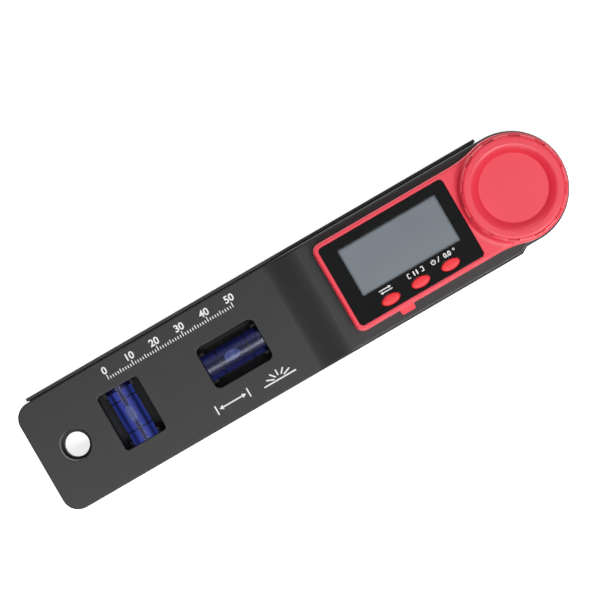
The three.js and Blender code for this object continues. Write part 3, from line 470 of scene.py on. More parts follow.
def add_node(tree: bpy.types.NodeTree, kind: str, inputs: Optional[Inputs] = None, **settings: Any) -> Any:
    """Adds a node with its settings, values and links.

    Args:
        tree: The tree that gets the node.
        kind: Blender's name for the kind of node.
        inputs: Values, or sockets to link from, by the input's name or number.
        **settings: Properties of the node itself.

    Returns:
        The new node's outputs.
    """
    node = tree.nodes.new(kind)
    for name, value in settings.items():
        setattr(node, name, value)
    connect(node, inputs or {})
    return node.outputs


class Pattern:
    """A Geometry Nodes tree with named inputs that is run once on a solid."""

    def __init__(self, name: str) -> None:
        """Makes the empty tree with a geometry input and output.

        Args:
            name: Name of the tree.
        """
        self.tree = bpy.data.node_groups.new(name, "GeometryNodeTree")
        for way in ("INPUT", "OUTPUT"):
            self.tree.interface.new_socket("Geometry", in_out=way, socket_type="NodeSocketGeometry")
        self.values: Inputs = {}
        self.start = self.tree.nodes.new("NodeGroupInput")

    def size(self, name: str, value: Any, kind: str = "NodeSocketFloat") -> bpy.types.NodeSocket:
        """Adds a named input with its value.

        Args:
            name: Name of the input.
            value: What it is set to on the modifier.
            kind: Kind of socket.

        Returns:
            The socket inside the tree to link from.
        """
        made = self.tree.interface.new_socket(name, in_out="INPUT", socket_type=kind)
        self.values[made.identifier] = value
        return self.start.outputs[name]

    def count(self, name: str, value: int) -> bpy.types.NodeSocket:
        """Adds a named input for a whole number."""
        return self.size(name, value, "NodeSocketInt")

    def shape(self, name: str, solid: Solid) -> bpy.types.NodeSocket:
        """Adds a named input for a solid, held by an unlinked object, and gives its geometry."""
        holder = self.size(name, bpy.data.objects.new(name, solid.mesh), "NodeSocketObject")
        return add_node(self.tree, "GeometryNodeObjectInfo", {"Object": holder})["Geometry"]

    def add(self, kind: str, inputs: Optional[Inputs] = None, **settings: Any) -> Any:
        """Adds a node and returns its first output."""
        return add_node(self.tree, kind, inputs, **settings)[0]

    def run(self, solid: Solid, geometry: bpy.types.NodeSocket, finish: "Finish") -> Solid:
        """Ends the tree in Realize Instances and Set Material and runs it.

        Args:
            solid: The solid that it runs on.
            geometry: What the tree makes.
            finish: The finish that its result wears.

        Returns:
            The plain result.
        """
        real = self.add("GeometryNodeRealizeInstances", {"Geometry": geometry})
        dressed = self.add("GeometryNodeSetMaterial", {"Geometry": real, "Material": finish.material()})
        add_node(self.tree, "NodeGroupOutput", {0: dressed})
        carrier = linked("carrier", solid.mesh)
        step = carrier.modifiers.new("pattern", "NODES")
        step.node_group = self.tree
        for identifier, value in self.values.items():
            step[identifier] = value
        mesh = evaluated_mesh(carrier)
        bpy.data.objects.remove(carrier)
        return Solid(mesh)


# Finishes


def srgb(code: str) -> tuple[float, float, float, float]:
    """A sRGB hex colour turned to linear.

    Args:
        code: The colour, such as #a0b0c0.

    Returns:
        Linear red, green, blue and alpha.
    """
    shares = [int(code[i:i + 2], 16) / 255 for i in (1, 3, 5)]
    linear = [c / 12.92 if c <= 0.04045 else ((c + 0.055) / 1.055) ** 2.4 for c in shares]
    return (*linear, 1.0)


def object_noise(
    tree: bpy.types.NodeTree, size_mm: float, detail: float = 1.0, stretch: Place = (1, 1, 1)
) -> Any:
    """Noise on Object coordinates.

    Args:
        tree: The material's tree.
        size_mm: Size of the noise's blotches.
        detail: Octaves of finer noise.
        stretch: How much finer it is along each axis.

    Returns:
        The noise value's socket, from 0 to 1.
    """
    place = add_node(tree, "ShaderNodeTexCoord")["Object"]
    mapped = add_node(tree, "ShaderNodeMapping", {"Vector": place, "Scale": stretch})[0]
    settings = {"Vector": mapped, "Scale": 1 / (size_mm * MM), "Detail": detail}
    return add_node(tree, "ShaderNodeTexNoise", settings)[0]


def between(tree: bpy.types.NodeTree, share: Any, low: float, high: float, span: Point = (0.3, 0.7)) -> Any:
    """A number that follows a share between two ends.

    Args:
        tree: The material's tree.
        share: Socket that drives the number.
        low: Number at the lower end.
        high: Number at the upper end.
        span: Shares at which each end is reached.

    Returns:
        The number's socket.
    """
    limits = {"Value": share, "From Min": span[0], "From Max": span[1], "To Min": low, "To Max": high}
    return add_node(tree, "ShaderNodeMapRange", limits)[0]


def blend(tree: bpy.types.NodeTree, share: Any, low: Any, high: Any, span: Point = (0.3, 0.7)) -> Any:
    """A colour that follows a share between two ends.

    Args:
        tree: The material's tree.
        share: Socket that drives the colour.
        low: Hex code, colour or socket at the lower end.
        high: The same at the upper end.
        span: Shares at which each end is reached.

    Returns:
        The colour's socket.
    """
    ends = [srgb(end) if isinstance(end, str) else end for end in (low, high)]
    inputs = {0: between(tree, share, 0.0, 1.0, span), 6: ends[0], 7: ends[1]}
    return add_node(tree, "ShaderNodeMix", inputs, data_type="RGBA")[2]


class Finish:
    """A named finish that can be put on pieces, with the part's material slot that it stands for."""

    name: str
    slot: str

    def material(self) -> bpy.types.Material:
        """The Blender material of this finish, made once.

        Returns:
            The material.
        """
        made = bpy.data.materials.get(self.name)
        if made is None:
            made = bpy.data.materials.new(self.name)
            made.use_nodes = True
            connect(made.node_tree.nodes["Principled BSDF"], self.looks(made.node_tree))
        return made

    def looks(self, tree: bpy.types.NodeTree) -> Inputs:
        """Adds the nodes of this finish; each kind has its own.

        Args:
            tree: The material's tree.

        Returns:
            Values and sockets for the shader, by the input's name.
        """
        raise NotImplementedError


@dataclass(frozen=True)
class MouldedPlastic(Finish):
    """Injection-moulded plastic with the fine spark-eroded grain of its mould."""

    name: str
    slot: str
    low: str
    high: str
    roughness: float
    grain_mm: float = 0.42  # true grain is near 0.15; this is as fine as the picture shows
    grain_depth_mm: float = 0.012
    flow_mm: float = 16.0
    specular: float = 0.5
    gloss_spread: float = 0.05
    ior: float = 1.53

    def looks(self, tree: bpy.types.NodeTree) -> Inputs:
        """Colour that wanders a little, with grain in the gloss and in the relief.

        Args:
            tree: The material's tree.

        Returns:
            Values and sockets for the shader, by the input's name.
        """
        flow = object_noise(tree, self.flow_mm, 3.0)
        grain = object_noise(tree, self.grain_mm)
        bump = {"Height": grain, "Distance": self.grain_depth_mm * MM, "Strength": 1.0}
        return {
            "Base Color": blend(tree, flow, self.low, self.high),
            "Roughness": between(
                tree, grain, self.roughness - self.gloss_spread, self.roughness + self.gloss_spread
            ),
            "Normal": add_node(tree, "ShaderNodeBump", bump)[0],
            "IOR": self.ior,
            "Specular IOR Level": self.specular,
        }


@dataclass(frozen=True)
class WorkedMetal(Finish):
    """Metal with the fine lines that turning, rolling or plating leaves."""

    name: str
    slot: str
    low: str
    high: str
    roughness: float
    line_mm: float = 0.3  # true tool lines are finer than 0.1; this is as fine as the picture shows
    stretch: Place = (1.0, 1.0, 6.0)
    line_depth_mm: float = 0.004
    gloss_gain: float = 0.06
    gloss_loss: float = 0.08

    def looks(self, tree: bpy.types.NodeTree) -> Inputs:
        """Bare metal whose tone and gloss follow the tool lines.

        Args:
            tree: The material's tree.

        Returns:
            Values and sockets for the shader, by the input's name.
        """
        lines = object_noise(tree, self.line_mm, 2.0, self.stretch)
        bump = {"Height": lines, "Distance": self.line_depth_mm * MM, "Strength": 1.0}
        return {
            "Base Color": blend(tree, lines, self.low, self.high),
            "Roughness": between(
                tree, lines, self.roughness - self.gloss_gain, self.roughness + self.gloss_loss
            ),
            "Normal": add_node(tree, "ShaderNodeBump", bump)[0],
            "Metallic": 1.0,
        }


@dataclass(frozen=True)
class TintedClear(Finish):
    """Clear extruded plastic that light passes through."""

    name: str
    slot: str
    tint: str
    roughness: float
    ior: float
    flow_mm: float = 4.0
    paling: float = 1.06

    def looks(self, tree: bpy.types.NodeTree) -> Inputs:
        """Tinted and clear, with the faint waviness of a drawn surface.

        Args:
            tree: The material's tree.

        Returns:
            Values and sockets for the shader, by the input's name.
        """
        pale = tuple(min(1.0, c * self.paling) for c in srgb(self.tint))
        return {
            "Base Color": blend(tree, object_noise(tree, self.flow_mm), self.tint, pale),
            "Roughness": self.roughness,
            "Transmission Weight": 1.0,
            "IOR": self.ior,
        }


@dataclass(frozen=True)
class DisplayGlass(Finish):
    """Display glass over a grey reflector, with painted shade along its border where the panel's edge shades
    the recessed glass.
    """

    name: str
    slot: str
    # Colour of the painted shade at the border.
    edge: str
    low: str
    high: str
    centre: Point
    half: Point
    soft_mm: float = 1.0
    cloud_mm: float = 26.0
    roughness: float = 0.14
    specular: float = 0.3

    def looks(self, tree: bpy.types.NodeTree) -> Inputs:
        """Even grey with painted shade that darkens it towards the border of the display.

        Args:
            tree: The material's tree.

        Returns:
            Values and sockets for the shader, by the input's name.
        """
        def maths(operation: str, *values: Any) -> Any:
            """The result of one sum on sockets or numbers."""
            return add_node(tree, "ShaderNodeMath", dict(enumerate(values)), operation=operation)[0]

        parts = add_node(tree, "ShaderNodeSeparateXYZ", {0: add_node(tree, "ShaderNodeTexCoord")["Object"]})
        reach = [
            maths("SUBTRACT", half * MM, maths("ABSOLUTE", maths("SUBTRACT", part, middle * MM)))
            for part, middle, half in zip(parts, self.centre, self.half)
        ]
        # Distance inside the border, which drives the painted shade.
        inside = maths("SMOOTH_MIN", *reach, self.soft_mm * MM / 2)
        cloud = blend(tree, object_noise(tree, self.cloud_mm, 2.0), self.low, self.high)
        return {
            "Base Color": blend(tree, inside, self.edge, cloud, (0.0, self.soft_mm * MM)),
            "Roughness": self.roughness,
            "Specular IOR Level": self.specular,
        }


@dataclass(frozen=True)
class DyedSpirit(Finish):
    """Dyed liquid, dark in itself, with painted light: a glow in bands and streaks that stands for the light
    its round tube gathers.
    """

    name: str
    slot: str
    low: str
    high: str
    across: Across
    middle: Point = CENTRE
    band_share: float = 0.55
    band_mm: float = 3.0
    streak_mm: float = 1.1
    slimness: float = 0.07
    dye: tuple[str, str] = ("#04050c", "#080a18")
    glow_span: Point = (0.2, 0.75)
    roughness: float = 0.6

    def looks(self, tree: bpy.types.NodeTree) -> Inputs:
        """Dark dye under a painted glow that follows the bands and finer streaks along the tube.

        Args:
            tree: The material's tree.

        Returns:
            Values and sockets for the shader, by the input's name.
        """
        stretch = (1.0, self.slimness, 1.0) if self.across is Across.X else (self.slimness, 1.0, 1.0)
        streaks = object_noise(tree, self.streak_mm, 2.0, stretch)
        shift = (-self.middle[0] * MM, -self.middle[1] * MM, 0.0)
        place = add_node(tree, "ShaderNodeTexCoord")["Object"]
        centred = add_node(tree, "ShaderNodeMapping", {"Vector": place, "Location": shift})[0]
        # The bands and streaks are painted highlights of the round tube, given as emission.
        bands = add_node(
            tree, "ShaderNodeTexWave", {"Vector": centred, "Scale": wave_scale(self.band_mm)},
            bands_direction=self.across.value,
        )["Fac"]
        mixed = add_node(tree, "ShaderNodeMix", {0: self.band_share, 2: streaks, 3: bands})[0]
        return {
            "Base Color": blend(tree, object_noise(tree, 4 * self.streak_mm), *self.dye),
            "Emission Color": blend(tree, mixed, self.low, self.high, self.glow_span),
            "Emission Strength": 1.0,
            "Roughness": self.roughness,
            "Specular IOR Level": 0.0,
        }


@dataclass(frozen=True)
class PrintedCircuit(Finish):
    """Glass-fibre board under green solder mask, with the tracks showing through."""

    name: str
    slot: str
    mask: str
    track: str
    pitch_mm: float = 1.2
    unevenness: float = 0.15
    track_span: Point = (0.06, 0.12)
    track_depth_mm: float = 0.02
    roughness: float = 0.35

    def looks(self, tree: bpy.types.NodeTree) -> Inputs:
        """Tracks as paler lines under the mask.

        Args:
            tree: The material's tree.

        Returns:
            Values and sockets for the shader, by the input's name.
        """
        place = add_node(tree, "ShaderNodeTexCoord")["Object"]
        settings = {"Vector": place, "Scale": 1 / (self.pitch_mm * MM), "Randomness": self.unevenness}
        cells = add_node(tree, "ShaderNodeTexVoronoi", settings, feature="DISTANCE_TO_EDGE")[0]
        bump = {"Height": cells, "Distance": self.track_depth_mm * MM, "Strength": 1.0}
        return {
            "Base Color": blend(tree, cells, self.track, self.mask, self.track_span),
            "Normal": add_node(tree, "ShaderNodeBump", bump)[0],
            "Roughness": self.roughness,
        }


@dataclass(frozen=True)
class LayeredRubber(Finish):
    """Elastomer connector of thin carbon and silicone layers."""

    name: str
    slot: str
    dark: str
    pale: str
    pitch_mm: float = 0.2
    roughness: float = 0.7

    def looks(self, tree: bpy.types.NodeTree) -> Inputs:
        """Fine bands across the strip.

        Args:
            tree: The material's tree.

        Returns:
            Values and sockets for the shader, by the input's name.
        """
        place = add_node(tree, "ShaderNodeTexCoord")["Object"]
        settings = {"Vector": place, "Scale": wave_scale(self.pitch_mm)}
        bands = add_node(tree, "ShaderNodeTexWave", settings, bands_direction=Across.X.value)[0]
        return {"Base Color": blend(tree, bands, self.dark, self.pale), "Roughness": self.roughness}


def wave_scale(band_mm: float) -> float:
    """Scale at which a Wave Texture repeats once in a band's width."""
    return math.tau / (20 * band_mm * MM)


# The upper arm is charcoal ABS: a soft grey sheen over a spark-eroded grain.
CHARCOAL_ABS = MouldedPlastic(
    "charcoal_abs_spark_grain", "charcoal_abs", "#151516", "#181819", 0.36, 0.42, 0.005
)
# The lower arm is the same plastic, darker and a little duller.
BLACK_ABS = MouldedPlastic("black_abs_spark_grain", "black_abs", "#111213", "#151617", 0.5, 0.42, 0.005)
# The closing plate is dull black, so that the level windows look deep.
PLATE_ABS = MouldedPlastic(
    "dull_black_abs_plate", "black_abs", "#131314", "#171718", 0.6, 0.42, 0.005, specular=0.3
)
# The housing, knob and tray are bright coral-red ABS with a satin, nearly even surface.
RED_ABS = MouldedPlastic("coral_red_abs_satin", "red_abs", "#ec3045", "#f0364c", 0.38, 0.5, 0.003, 22.0, 0.6)
# The buttons are softer and more orange than the housing.
RED_BUTTON = MouldedPlastic("red_button_abs", "red_button", "#f42c36", "#f8323c", 0.5, 0.5, 0.003, 6.0, 0.4)
# The face panel is smooth black styrene film, nearly even.
PANEL_FILM = MouldedPlastic(
    "black_face_film", "panel_film", "#0d0e0e", "#101111", 0.12, 0.6, 0.0005, 12.0, 0.34
)
# White screen print: opaque, matt, with the mesh's faint pinholes, drawn coarser than life to show.
WHITE_PRINT = MouldedPlastic("white_screen_print", "vial_plug", "#e6e6e6", "#f2f2f2", 0.6, 0.3, 0.004, 3.0)
# Black marker rings printed round the vials: crisp, with a slight shine.
RING_PRINT = MouldedPlastic("black_marker_print", "vial_plug", "#06061a", "#0a0a22", 0.4, 0.3, 0.002, 3.0)
# Extruded acrylic tube: clear and slightly blue, with a soft gloss.
ACRYLIC = TintedClear("clear_blue_acrylic", "acrylic", "#c4c8fa", 0.27, 1.49)
# Dyed spirit: a deep blue dye, with a painted glow where light would gather along the tube. Both vials hold
# the same spirit; they get different painted glow, paler in the cross vial and darker in the long one, as
# light falls differently on them.
CROSS_SPIRIT = DyedSpirit("dyed_spirit_painted_glow_cross", "vial_liquid", "#131a42", "#3a4796", Across.X, (-153.2, -1.2))
LONG_SPIRIT = DyedSpirit("dyed_spirit_painted_glow_long", "vial_liquid", "#0e1130", "#20244e", Across.Y, (-111.9, -0.45))
# The air bubble under the tube: its pale blue is a painted reflection of the sky, given as glow.
BUBBLE = DyedSpirit(
    "air_bubble_painted_sky_glow", "vial_liquid", "#303a6c", "#5a6690", Across.X, CENTRE, 0.0, streak_mm=1.6, slimness=1.0
)
# Moulded blue plug: smooth, and as dark as the spirit that it closes in.
VIAL_PLUG = MouldedPlastic("blue_vial_plug", "vial_plug", "#15154e", "#1a1a5c", 0.3, 0.4, 0.003, 4.0)
# Polished glass of the display over its grey reflector, with painted shade along its border in the first
# colour.
DISPLAY_GREY = DisplayGlass(
    "grey_display_glass", "display_glass", "#4c5256", "#7a8289", "#828a90", (-43.9, 2.55), (19.5, 9.15)
)
# Zinc plate on screw steel: bluish and bright, with fine drawn lines.
ZINC_STEEL = WorkedMetal("zinc_plated_steel", "zinc_steel", "#a9abb0", "#c3c5ca", 0.32)
# Spring steel under nickel: warmer and glossier than zinc.
SPRING_STEEL = WorkedMetal("nickel_spring_steel", "spring_steel", "#b9b6ae", "#cbc8c0", 0.26)
# The cell's can is drawn from nickel sheet: bright, with a grain that runs no one way.
NICKEL_CAN = WorkedMetal("drawn_nickel_can", "nickel", "#b6b6b6", "#cdcdcd", 0.24, 0.5, (1, 1, 1))
# Turned brass: yellow, with the lathe's fine rings in its gloss.
TURNED_BRASS = WorkedMetal("turned_brass", "brass", "#b08a3e", "#c9a552", 0.28)
# Nylon without a dye: milky and dull.
NATURAL_NYLON = MouldedPlastic("natural_nylon", "nylon", "#dcd9cc", "#e4e1d6", 0.5)
# Green mask over copper: the tracks show paler through it.
CIRCUIT = PrintedCircuit("green_solder_mask", "circuit_board", "#0f3d20", "#2a6b3a")
# Amber film of the flat cable: thin, brown and shiny.
POLYIMIDE = MouldedPlastic("amber_polyimide_film", "polyimide", "#8f4a16", "#a5571c", 0.25, 0.5, 0.002, 4.0)
# Contact rubber: black carbon layers between pale silicone ones.
ZEBRA = LayeredRubber("layered_elastomer", "elastomer", "#161616", "#8a8a86")
# Cast black resin of a chip: smooth, with a grey shine.
CHIP_RESIN = MouldedPlastic("cast_black_resin", "chip_resin", "#0b0b0b", "#101010", 0.22, 0.8, 0.006, 2.0)


# Dressing


def finish_piece(
    solid: Solid, name: str, finish: Finish, body: Body, *nodes: str,
    bevel_mm: float = 0.0, crease: float = CREASE_DEG,
) -> None:
    """Makes a solid a finished piece of the scene.

    Args:
        solid: The body, in its place.
        name: What the piece is called.
        finish: What it wears.
        body: What it rides on.
        *nodes: Nodes of the frame that it stands for.
        bevel_mm: Width of the bevel on its sharp edges, or none at zero.
        crease: Angle in degrees past which an edge stays sharp.
    """
    mesh = solid.mesh
    mesh.name = name
    mesh.materials.clear()
    mesh.materials.append(finish.material())
    mesh.polygons.foreach_set("material_index", [0] * len(mesh.polygons))
    mesh.shade_smooth()
    mesh.set_sharp_from_angle(angle=math.radians(crease))
    made = linked(name, mesh)
    if bevel_mm:
        bevel = made.modifiers.new("edges", "BEVEL")
        bevel.width = bevel_mm * MM
        bevel.segments = 2
        bevel.limit_method = "ANGLE"
        bevel.angle_limit = math.radians(crease)
    weighted = made.modifiers.new("shading", "WEIGHTED_NORMAL")
    weighted.keep_sharp = True
    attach(made, body.value)
    if nodes:
        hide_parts(*nodes)
    log.info("%s: %d faces on %s", name, len(mesh.polygons), body.value)


def dress_nodes(finish: Finish, *nodes: str) -> None:
    """Puts a finish on nodes of the frame that keep their own shape.

    Args:
        finish: The finish.
        *nodes: Names of the nodes.
    """
    for node in nodes:
        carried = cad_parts[node]
        if not carried.material_slots:
            carried.data.materials.append(finish.material())
        for slot in carried.material_slots:
            slot.material = finish.material()
        log.info("%s: dressed as %s", node, finish.slot)


# Sizes that the sub-assemblies share


@dataclass(frozen=True)
class Plan:
    """Plan and heights of the whole tool."""

    side: float = 20.1
    edge: float = 21.6
    strip_inner: float = 20.5
    tail: float = -189.0
    tail_corner: float = 6.0
    bevel_end: float = -7.85
    bevel_run: float = 2.45
    ramp_foot: float = -89.4
    ramp_ease: float = 2.4
    crest: float = -74.6
    hole: Point = (-175.5, -0.85)
    hole_radius: float = 5.55
    cross_window: Opening = Opening((-153.2, -1.2), (16.5, 21.9), 1.5)
    long_window: Opening = Opening((-111.9, -1.2), (23.3, 16.7), 2.4)
    upper_base: float = 5.8
    plate_top: float = 7.0
    inner_floor: float = 7.3
    vial_axis: float = 12.05
    vial_radius: float = 4.75
    tail_top: float = 17.0
    ledge: float = 20.4
    head_ceiling: float = 18.5
    hub_radius: float = 6.5
    bolt_hole: float = 2.65
    post_ring: float = 11.3
    post_radius: float = 1.8
    pin_radius: float = 0.8
    housing_half: float = 17.2
    housing_far: float = -71.0
    housing_radius: float = 19.4
    housing_top: float = 28.4
    pedestal_top: float = 30.0
    panel_bottom: float = 27.2
    panel_top: float = 28.1
    tray_x: float = -52.0
    tray_wall: float = 0.9
    cell_y: float = -5.1
    cell_radius: float = 10.0
    cell_bottom: float = 21.4
    cell_top: float = 23.9
    tray_bottom: float = 20.7
    board_bottom: float = 24.6
    knob_radius: float = 18.3
    shank_hole: float = 0.9 + FIT_GAP
    screw_head: float = 2.0
    base_screw_rows: tuple[float, ...] = (-164.85, -94.82, -23.8)
    base_screw_y: float = 15.0
    housing_screw_rows: tuple[float, ...] = (-66.1, -18.4)
    housing_screw_y: float = 12.3

    def base_screws(self) -> Outline:
        """Places of the screws in the base plate."""
        return [(x, y) for x in self.base_screw_rows for y in (self.base_screw_y, -self.base_screw_y)]

    def housing_screws(self) -> Outline:
        """Places of the screws that hold the red housing."""
        rows, y = self.housing_screw_rows, self.housing_screw_y
        return [(x, side) for x in rows for side in (y, -y)]

    def tray_half(self) -> float:
        """Half the width of the battery tray."""
        return self.cell_radius + SEAT_GAP + self.tray_wall

    def sensor_posts(self, turn: float, post: Point, pin: Point) -> list[Solid]:
        """Three posts with their pins that hold a disc of the angle sensor.

        Args:
            turn: Angle of the first post in degrees.
            post: Heights between which a post stands.
            pin: Heights between which its pin stands.

        Returns:
            The posts and pins.
        """
        return [
            Solid.rod(place, radius, *heights, SMALL_FACES)
            for place in turned_places(self.post_ring, 3, turn)
            for radius, heights in ((self.post_radius, post), (self.pin_radius, pin))
        ]


PLAN = Plan()


# Lower arm


@dataclass(frozen=True)
class LowerArm:
    """The arm that stays still: plate, straightedge, hub and ribbed underside."""

    plan: Plan = PLAN
    plate: float = 5.4
    tail_setback: float = 0.4
    rim: float = 2.2
    skin: float = 1.8
    plate_edge: float = 0.5
    strip_span: Point = (-182.6, -2.6)
    strip_top: float = 16.0
    strip_edge: float = 0.2
    hub_top: float = 6.4
    hole: Point = (-175.65, -1.05)
    hole_radius: float = 4.4
    hole_wall: float = 2.2
    hole_edge: float = 0.3
    columns: int = 7
    rows: int = 2
    rib: float = 1.6
    pocket_corner: float = 1.2
    pocket_draft: float = 0.25
    pocket_head: float = -24.0
    head_pockets: int = 6
    head_pocket_inner: float = 10.2
    head_pocket_rim: float = 2.6
    cap_radius: float = 7.0
    cap_top: float = 1.2
    cap_rim: float = 1.4
    cap_edge: float = 0.3
    cap_dish: float = 0.25
    bolt_head_across: float = 8.0
    bolt_head_top: float = 3.8
    post_top: float = 8.1
    pin_top: float = 9.2
    post_turn: float = 90.0

    def outline(self, inset: float) -> Outline:
        """Plan of the plate, drawn in by an inset.

        Args:
            inset: How far it is drawn in.

        Returns:
            The outline.
        """
        half = self.plan.side - inset
        left = self.plan.tail + self.tail_setback + self.plan.tail_corner
        ends = tail_end(left, half, -half, self.plan.tail_corner - inset)
        return arc(0, 0, half, -90, 90, WIDE_FACES // 2) + ends

    def plate_body(self) -> Solid:
        """The plate with eased edges below, its straightedge, hub and sensor posts.

        Returns:
            The plate before it is hollowed.
        """
        plan, plate = self.plan, self.plate
        lower = [(self.outline(self.plate_edge * inset), self.plate_edge * drop) for inset, drop in quarter()]
        left, right = self.strip_span
        shoulder = plan.edge - self.strip_edge
        section = [
            (plan.strip_inner, 0.0), (shoulder, 0.0), (plan.edge, self.strip_edge),
            *rounded_rim(plan.edge, self.strip_top, self.strip_edge), (plan.strip_inner, self.strip_top),
        ]
        return Solid.raised([*reversed(lower), (self.outline(0.0), plate)]).joined(
            Solid.along_x(section, left, right),
            Solid.block((left, plan.side - self.rim, 0.0), (right, shoulder, plate)),
            Solid.rod(CENTRE, plan.hub_radius, plate - OVERRUN, self.hub_top),
            *plan.sensor_posts(self.post_turn, (plate - OVERRUN, self.post_top), (plate, self.pin_top)),
        )

    def ribbed(self, body: Solid) -> Solid:
        """The plate with its grid of pockets, which leaves the ribs of the underside.

        Args:
            body: The plate before it is hollowed.

        Returns:
            The hollowed plate.
        """
        left = self.plan.tail + self.tail_setback + self.rim
        pitch_x = (self.pocket_head - left + self.rib) / self.columns
        pitch_y = (2 * (self.plan.side - self.rim) + self.rib) / self.rows
        length, width = pitch_x - self.rib, pitch_y - self.rib
        pocket = Solid.raised([
            (rounded_box(0, 0, length - 2 * draft, width - 2 * draft, self.pocket_corner), z)
            for draft, z in ((0.0, -OVERRUN), (self.pocket_draft, self.plate - self.skin))
        ])
        keep_in = Solid.prism(self.outline(self.rim), -OVERRUN, self.plate).cut(
            Solid.rod(self.hole, self.hole_radius + self.hole_wall, -2 * OVERRUN, self.plate + OVERRUN)
        )
        pattern = Pattern("underside_ribs")
        grid = pattern.add("GeometryNodeMeshGrid", {
            "Vertices X": pattern.count("Columns", self.columns),
            "Vertices Y": pattern.count("Rows", self.rows),
            "Size X": pattern.size("Grid Length", pitch_x * (self.columns - 1) * MM),
            "Size Y": pattern.size("Grid Width", pitch_y * (self.rows - 1) * MM),
        })
        centre = Vector((left + (pitch_x * self.columns - self.rib) / 2, 0.0, 0.0)) * MM
        moved = pattern.add("GeometryNodeTransform", {"Geometry": grid, "Translation": centre})
        copies = pattern.add(
            "GeometryNodeInstanceOnPoints", {"Points": moved, "Instance": pattern.shape("Pocket", pocket)}
        )
        solid = pattern.add("GeometryNodeRealizeInstances", {"Geometry": copies})
        held_in = pattern.add(
            "GeometryNodeMeshBoolean", {"Mesh 2": pattern.shape("Pocket Bounds", keep_in)},
            operation=Combine.COMMON.value, solver="MANIFOLD",
        )
        # One input takes both solids: the bounds are in it, and here come the pockets.
        connect(held_in.node, {"Mesh 2": solid})
        cut = pattern.add(
            "GeometryNodeMeshBoolean", {"Mesh 1": pattern.start.outputs[0], "Mesh 2": held_in},
            operation=Combine.CUT.value, solver="MANIFOLD",
        )
        return pattern.run(body, cut, BLACK_ABS)

    def shell(self) -> Solid:
        """The whole moulding.

        Returns:
            The moulding.
        """
        step = 360 / self.head_pockets
        margin = math.degrees(self.rib / 2 / self.head_pocket_inner)
        sectors = []
        for i in range(self.head_pockets):
            start, end = i * step + margin, (i + 1) * step - margin
            outline = arc(0, 0, self.head_pocket_inner, end, start)
            outline += arc(0, 0, self.plan.side - self.head_pocket_rim, start, end)
            sectors.append(Solid.prism(outline, -OVERRUN, self.plate - self.skin))
        head_hole = self.bolt_head_across / math.sqrt(3) + FACE_GAP
        return self.ribbed(self.plate_body()).cut(
            *sectors,
            mouth(
                lambda grow: circle(*self.hole, self.hole_radius + grow), -OVERRUN, self.plate,
                self.hole_edge,
            ),
            Solid.rod(CENTRE, self.cap_radius + SEAT_GAP, -OVERRUN, self.cap_top + FACE_GAP),
            Solid.rod(CENTRE, head_hole, -OVERRUN, self.bolt_head_top, HEX_FACES),
            Solid.rod(CENTRE, self.plan.bolt_hole, -OVERRUN, self.hub_top + OVERRUN),
        )

    def cap(self) -> Solid:
        """The cap over the bolt's head: flat rim round a shallow dish.

        Returns:
            The cap.
        """
        radius, dish, edge, top = self.cap_radius, self.cap_dish, self.cap_edge, self.cap_top
        flat = radius - self.cap_rim
        return Solid.turned([
            (0, dish), (flat - dish, dish), (flat, 0), (radius - edge, 0), (radius, edge), (radius, top),
            (0, top),
        ])

    def build(self) -> None:
        """Makes and dresses the lower arm."""
        body = Body.LOWER_ARM
        finish_piece(self.shell(), "lower_arm_moulding", BLACK_ABS, body, "lower_arm_shell")
        finish_piece(self.cap(), "pivot_cap", BLACK_ABS, body, "bolt_cap", bevel_mm=0.1)
        dress_nodes(ZINC_STEEL, "pivot_bolt")
        dress_nodes(NATURAL_NYLON, "thrust_washer")
        dress_nodes(CIRCUIT, "rotor_disc")


# Upper arm


@dataclass(frozen=True)
class ScrewSet:
    """A set of alike self-tapping screws with crossed recesses, heads down."""

    name: str
    node: str
    places: Outline
    bearing_z: float
    length: float
    seed: int
    head_radius: float = PLAN.screw_head
    head_height: float = 1.0
    dome_power: float = 0.6
    shank_radius: float = 0.9
    thread_depth: float = 0.18
    thread_pitch: float = 0.7
    thread_start: float = 0.6
    recess_width: float = 0.6
    recess_length: float = 2.3
    recess_depth: float = 0.6

    def screw(self) -> Solid:
        """One screw with its bearing face at zero and its shank towards +Z.

        Returns:
            The screw.
        """
        shank, pitch = self.shank_radius, self.thread_pitch
        turns = [math.pi / 2 * i / ROUND_STEPS for i in range(ROUND_STEPS)]
        profile = [
            (self.head_radius * math.sin(t), -self.head_height * math.cos(t) ** self.dome_power)
            for t in turns
        ]
        profile += [(self.head_radius, 0), (shank, 0)]
        for i in range(int(self.length / pitch) - 1):
            z = pitch * (i + self.thread_start)
            profile += [(shank - self.thread_depth, z), (shank, z + pitch / 2)]
        profile += [(shank / 3, self.length), (0, self.length)]
        half, reach = self.recess_width / 2, self.recess_length / 2
        low, high = -self.head_height - OVERRUN, -self.head_height + self.recess_depth
        return Solid.turned(profile, SMALL_FACES).cut(
            Solid.block((-reach, -half, low), (reach, half, high)),
            Solid.block((-half, -reach, low), (half, reach, high)),
        )

    def solid(self) -> Solid:
        """All the screws in one mesh, each turned its own way.

        Returns:
            The screws.
        """
        points = bpy.data.meshes.new("places")
        points.from_pydata([(x * MM, y * MM, self.bearing_z * MM) for x, y in self.places], [], [])
        pattern = Pattern("screws")
        turn = pattern.add("FunctionNodeRandomValue", {
            "Min": (0.0, 0.0, 0.0), "Max": (0.0, 0.0, math.tau), "Seed": pattern.count("Seed", self.seed),
        }, data_type="FLOAT_VECTOR")
        copies = pattern.add("GeometryNodeInstanceOnPoints", {
            "Points": pattern.start.outputs[0], "Instance": pattern.shape("Screw", self.screw()),
            "Rotation": turn,
        })
        return pattern.run(Solid(points), copies, ZINC_STEEL)

    def build(self) -> None:
        """Makes and dresses the screws."""
        nodes = [f"{self.node}_{i + 1}" for i in range(len(self.places))]
        finish_piece(self.solid(), self.name, ZINC_STEEL, Body.UPPER_ARM, *nodes)


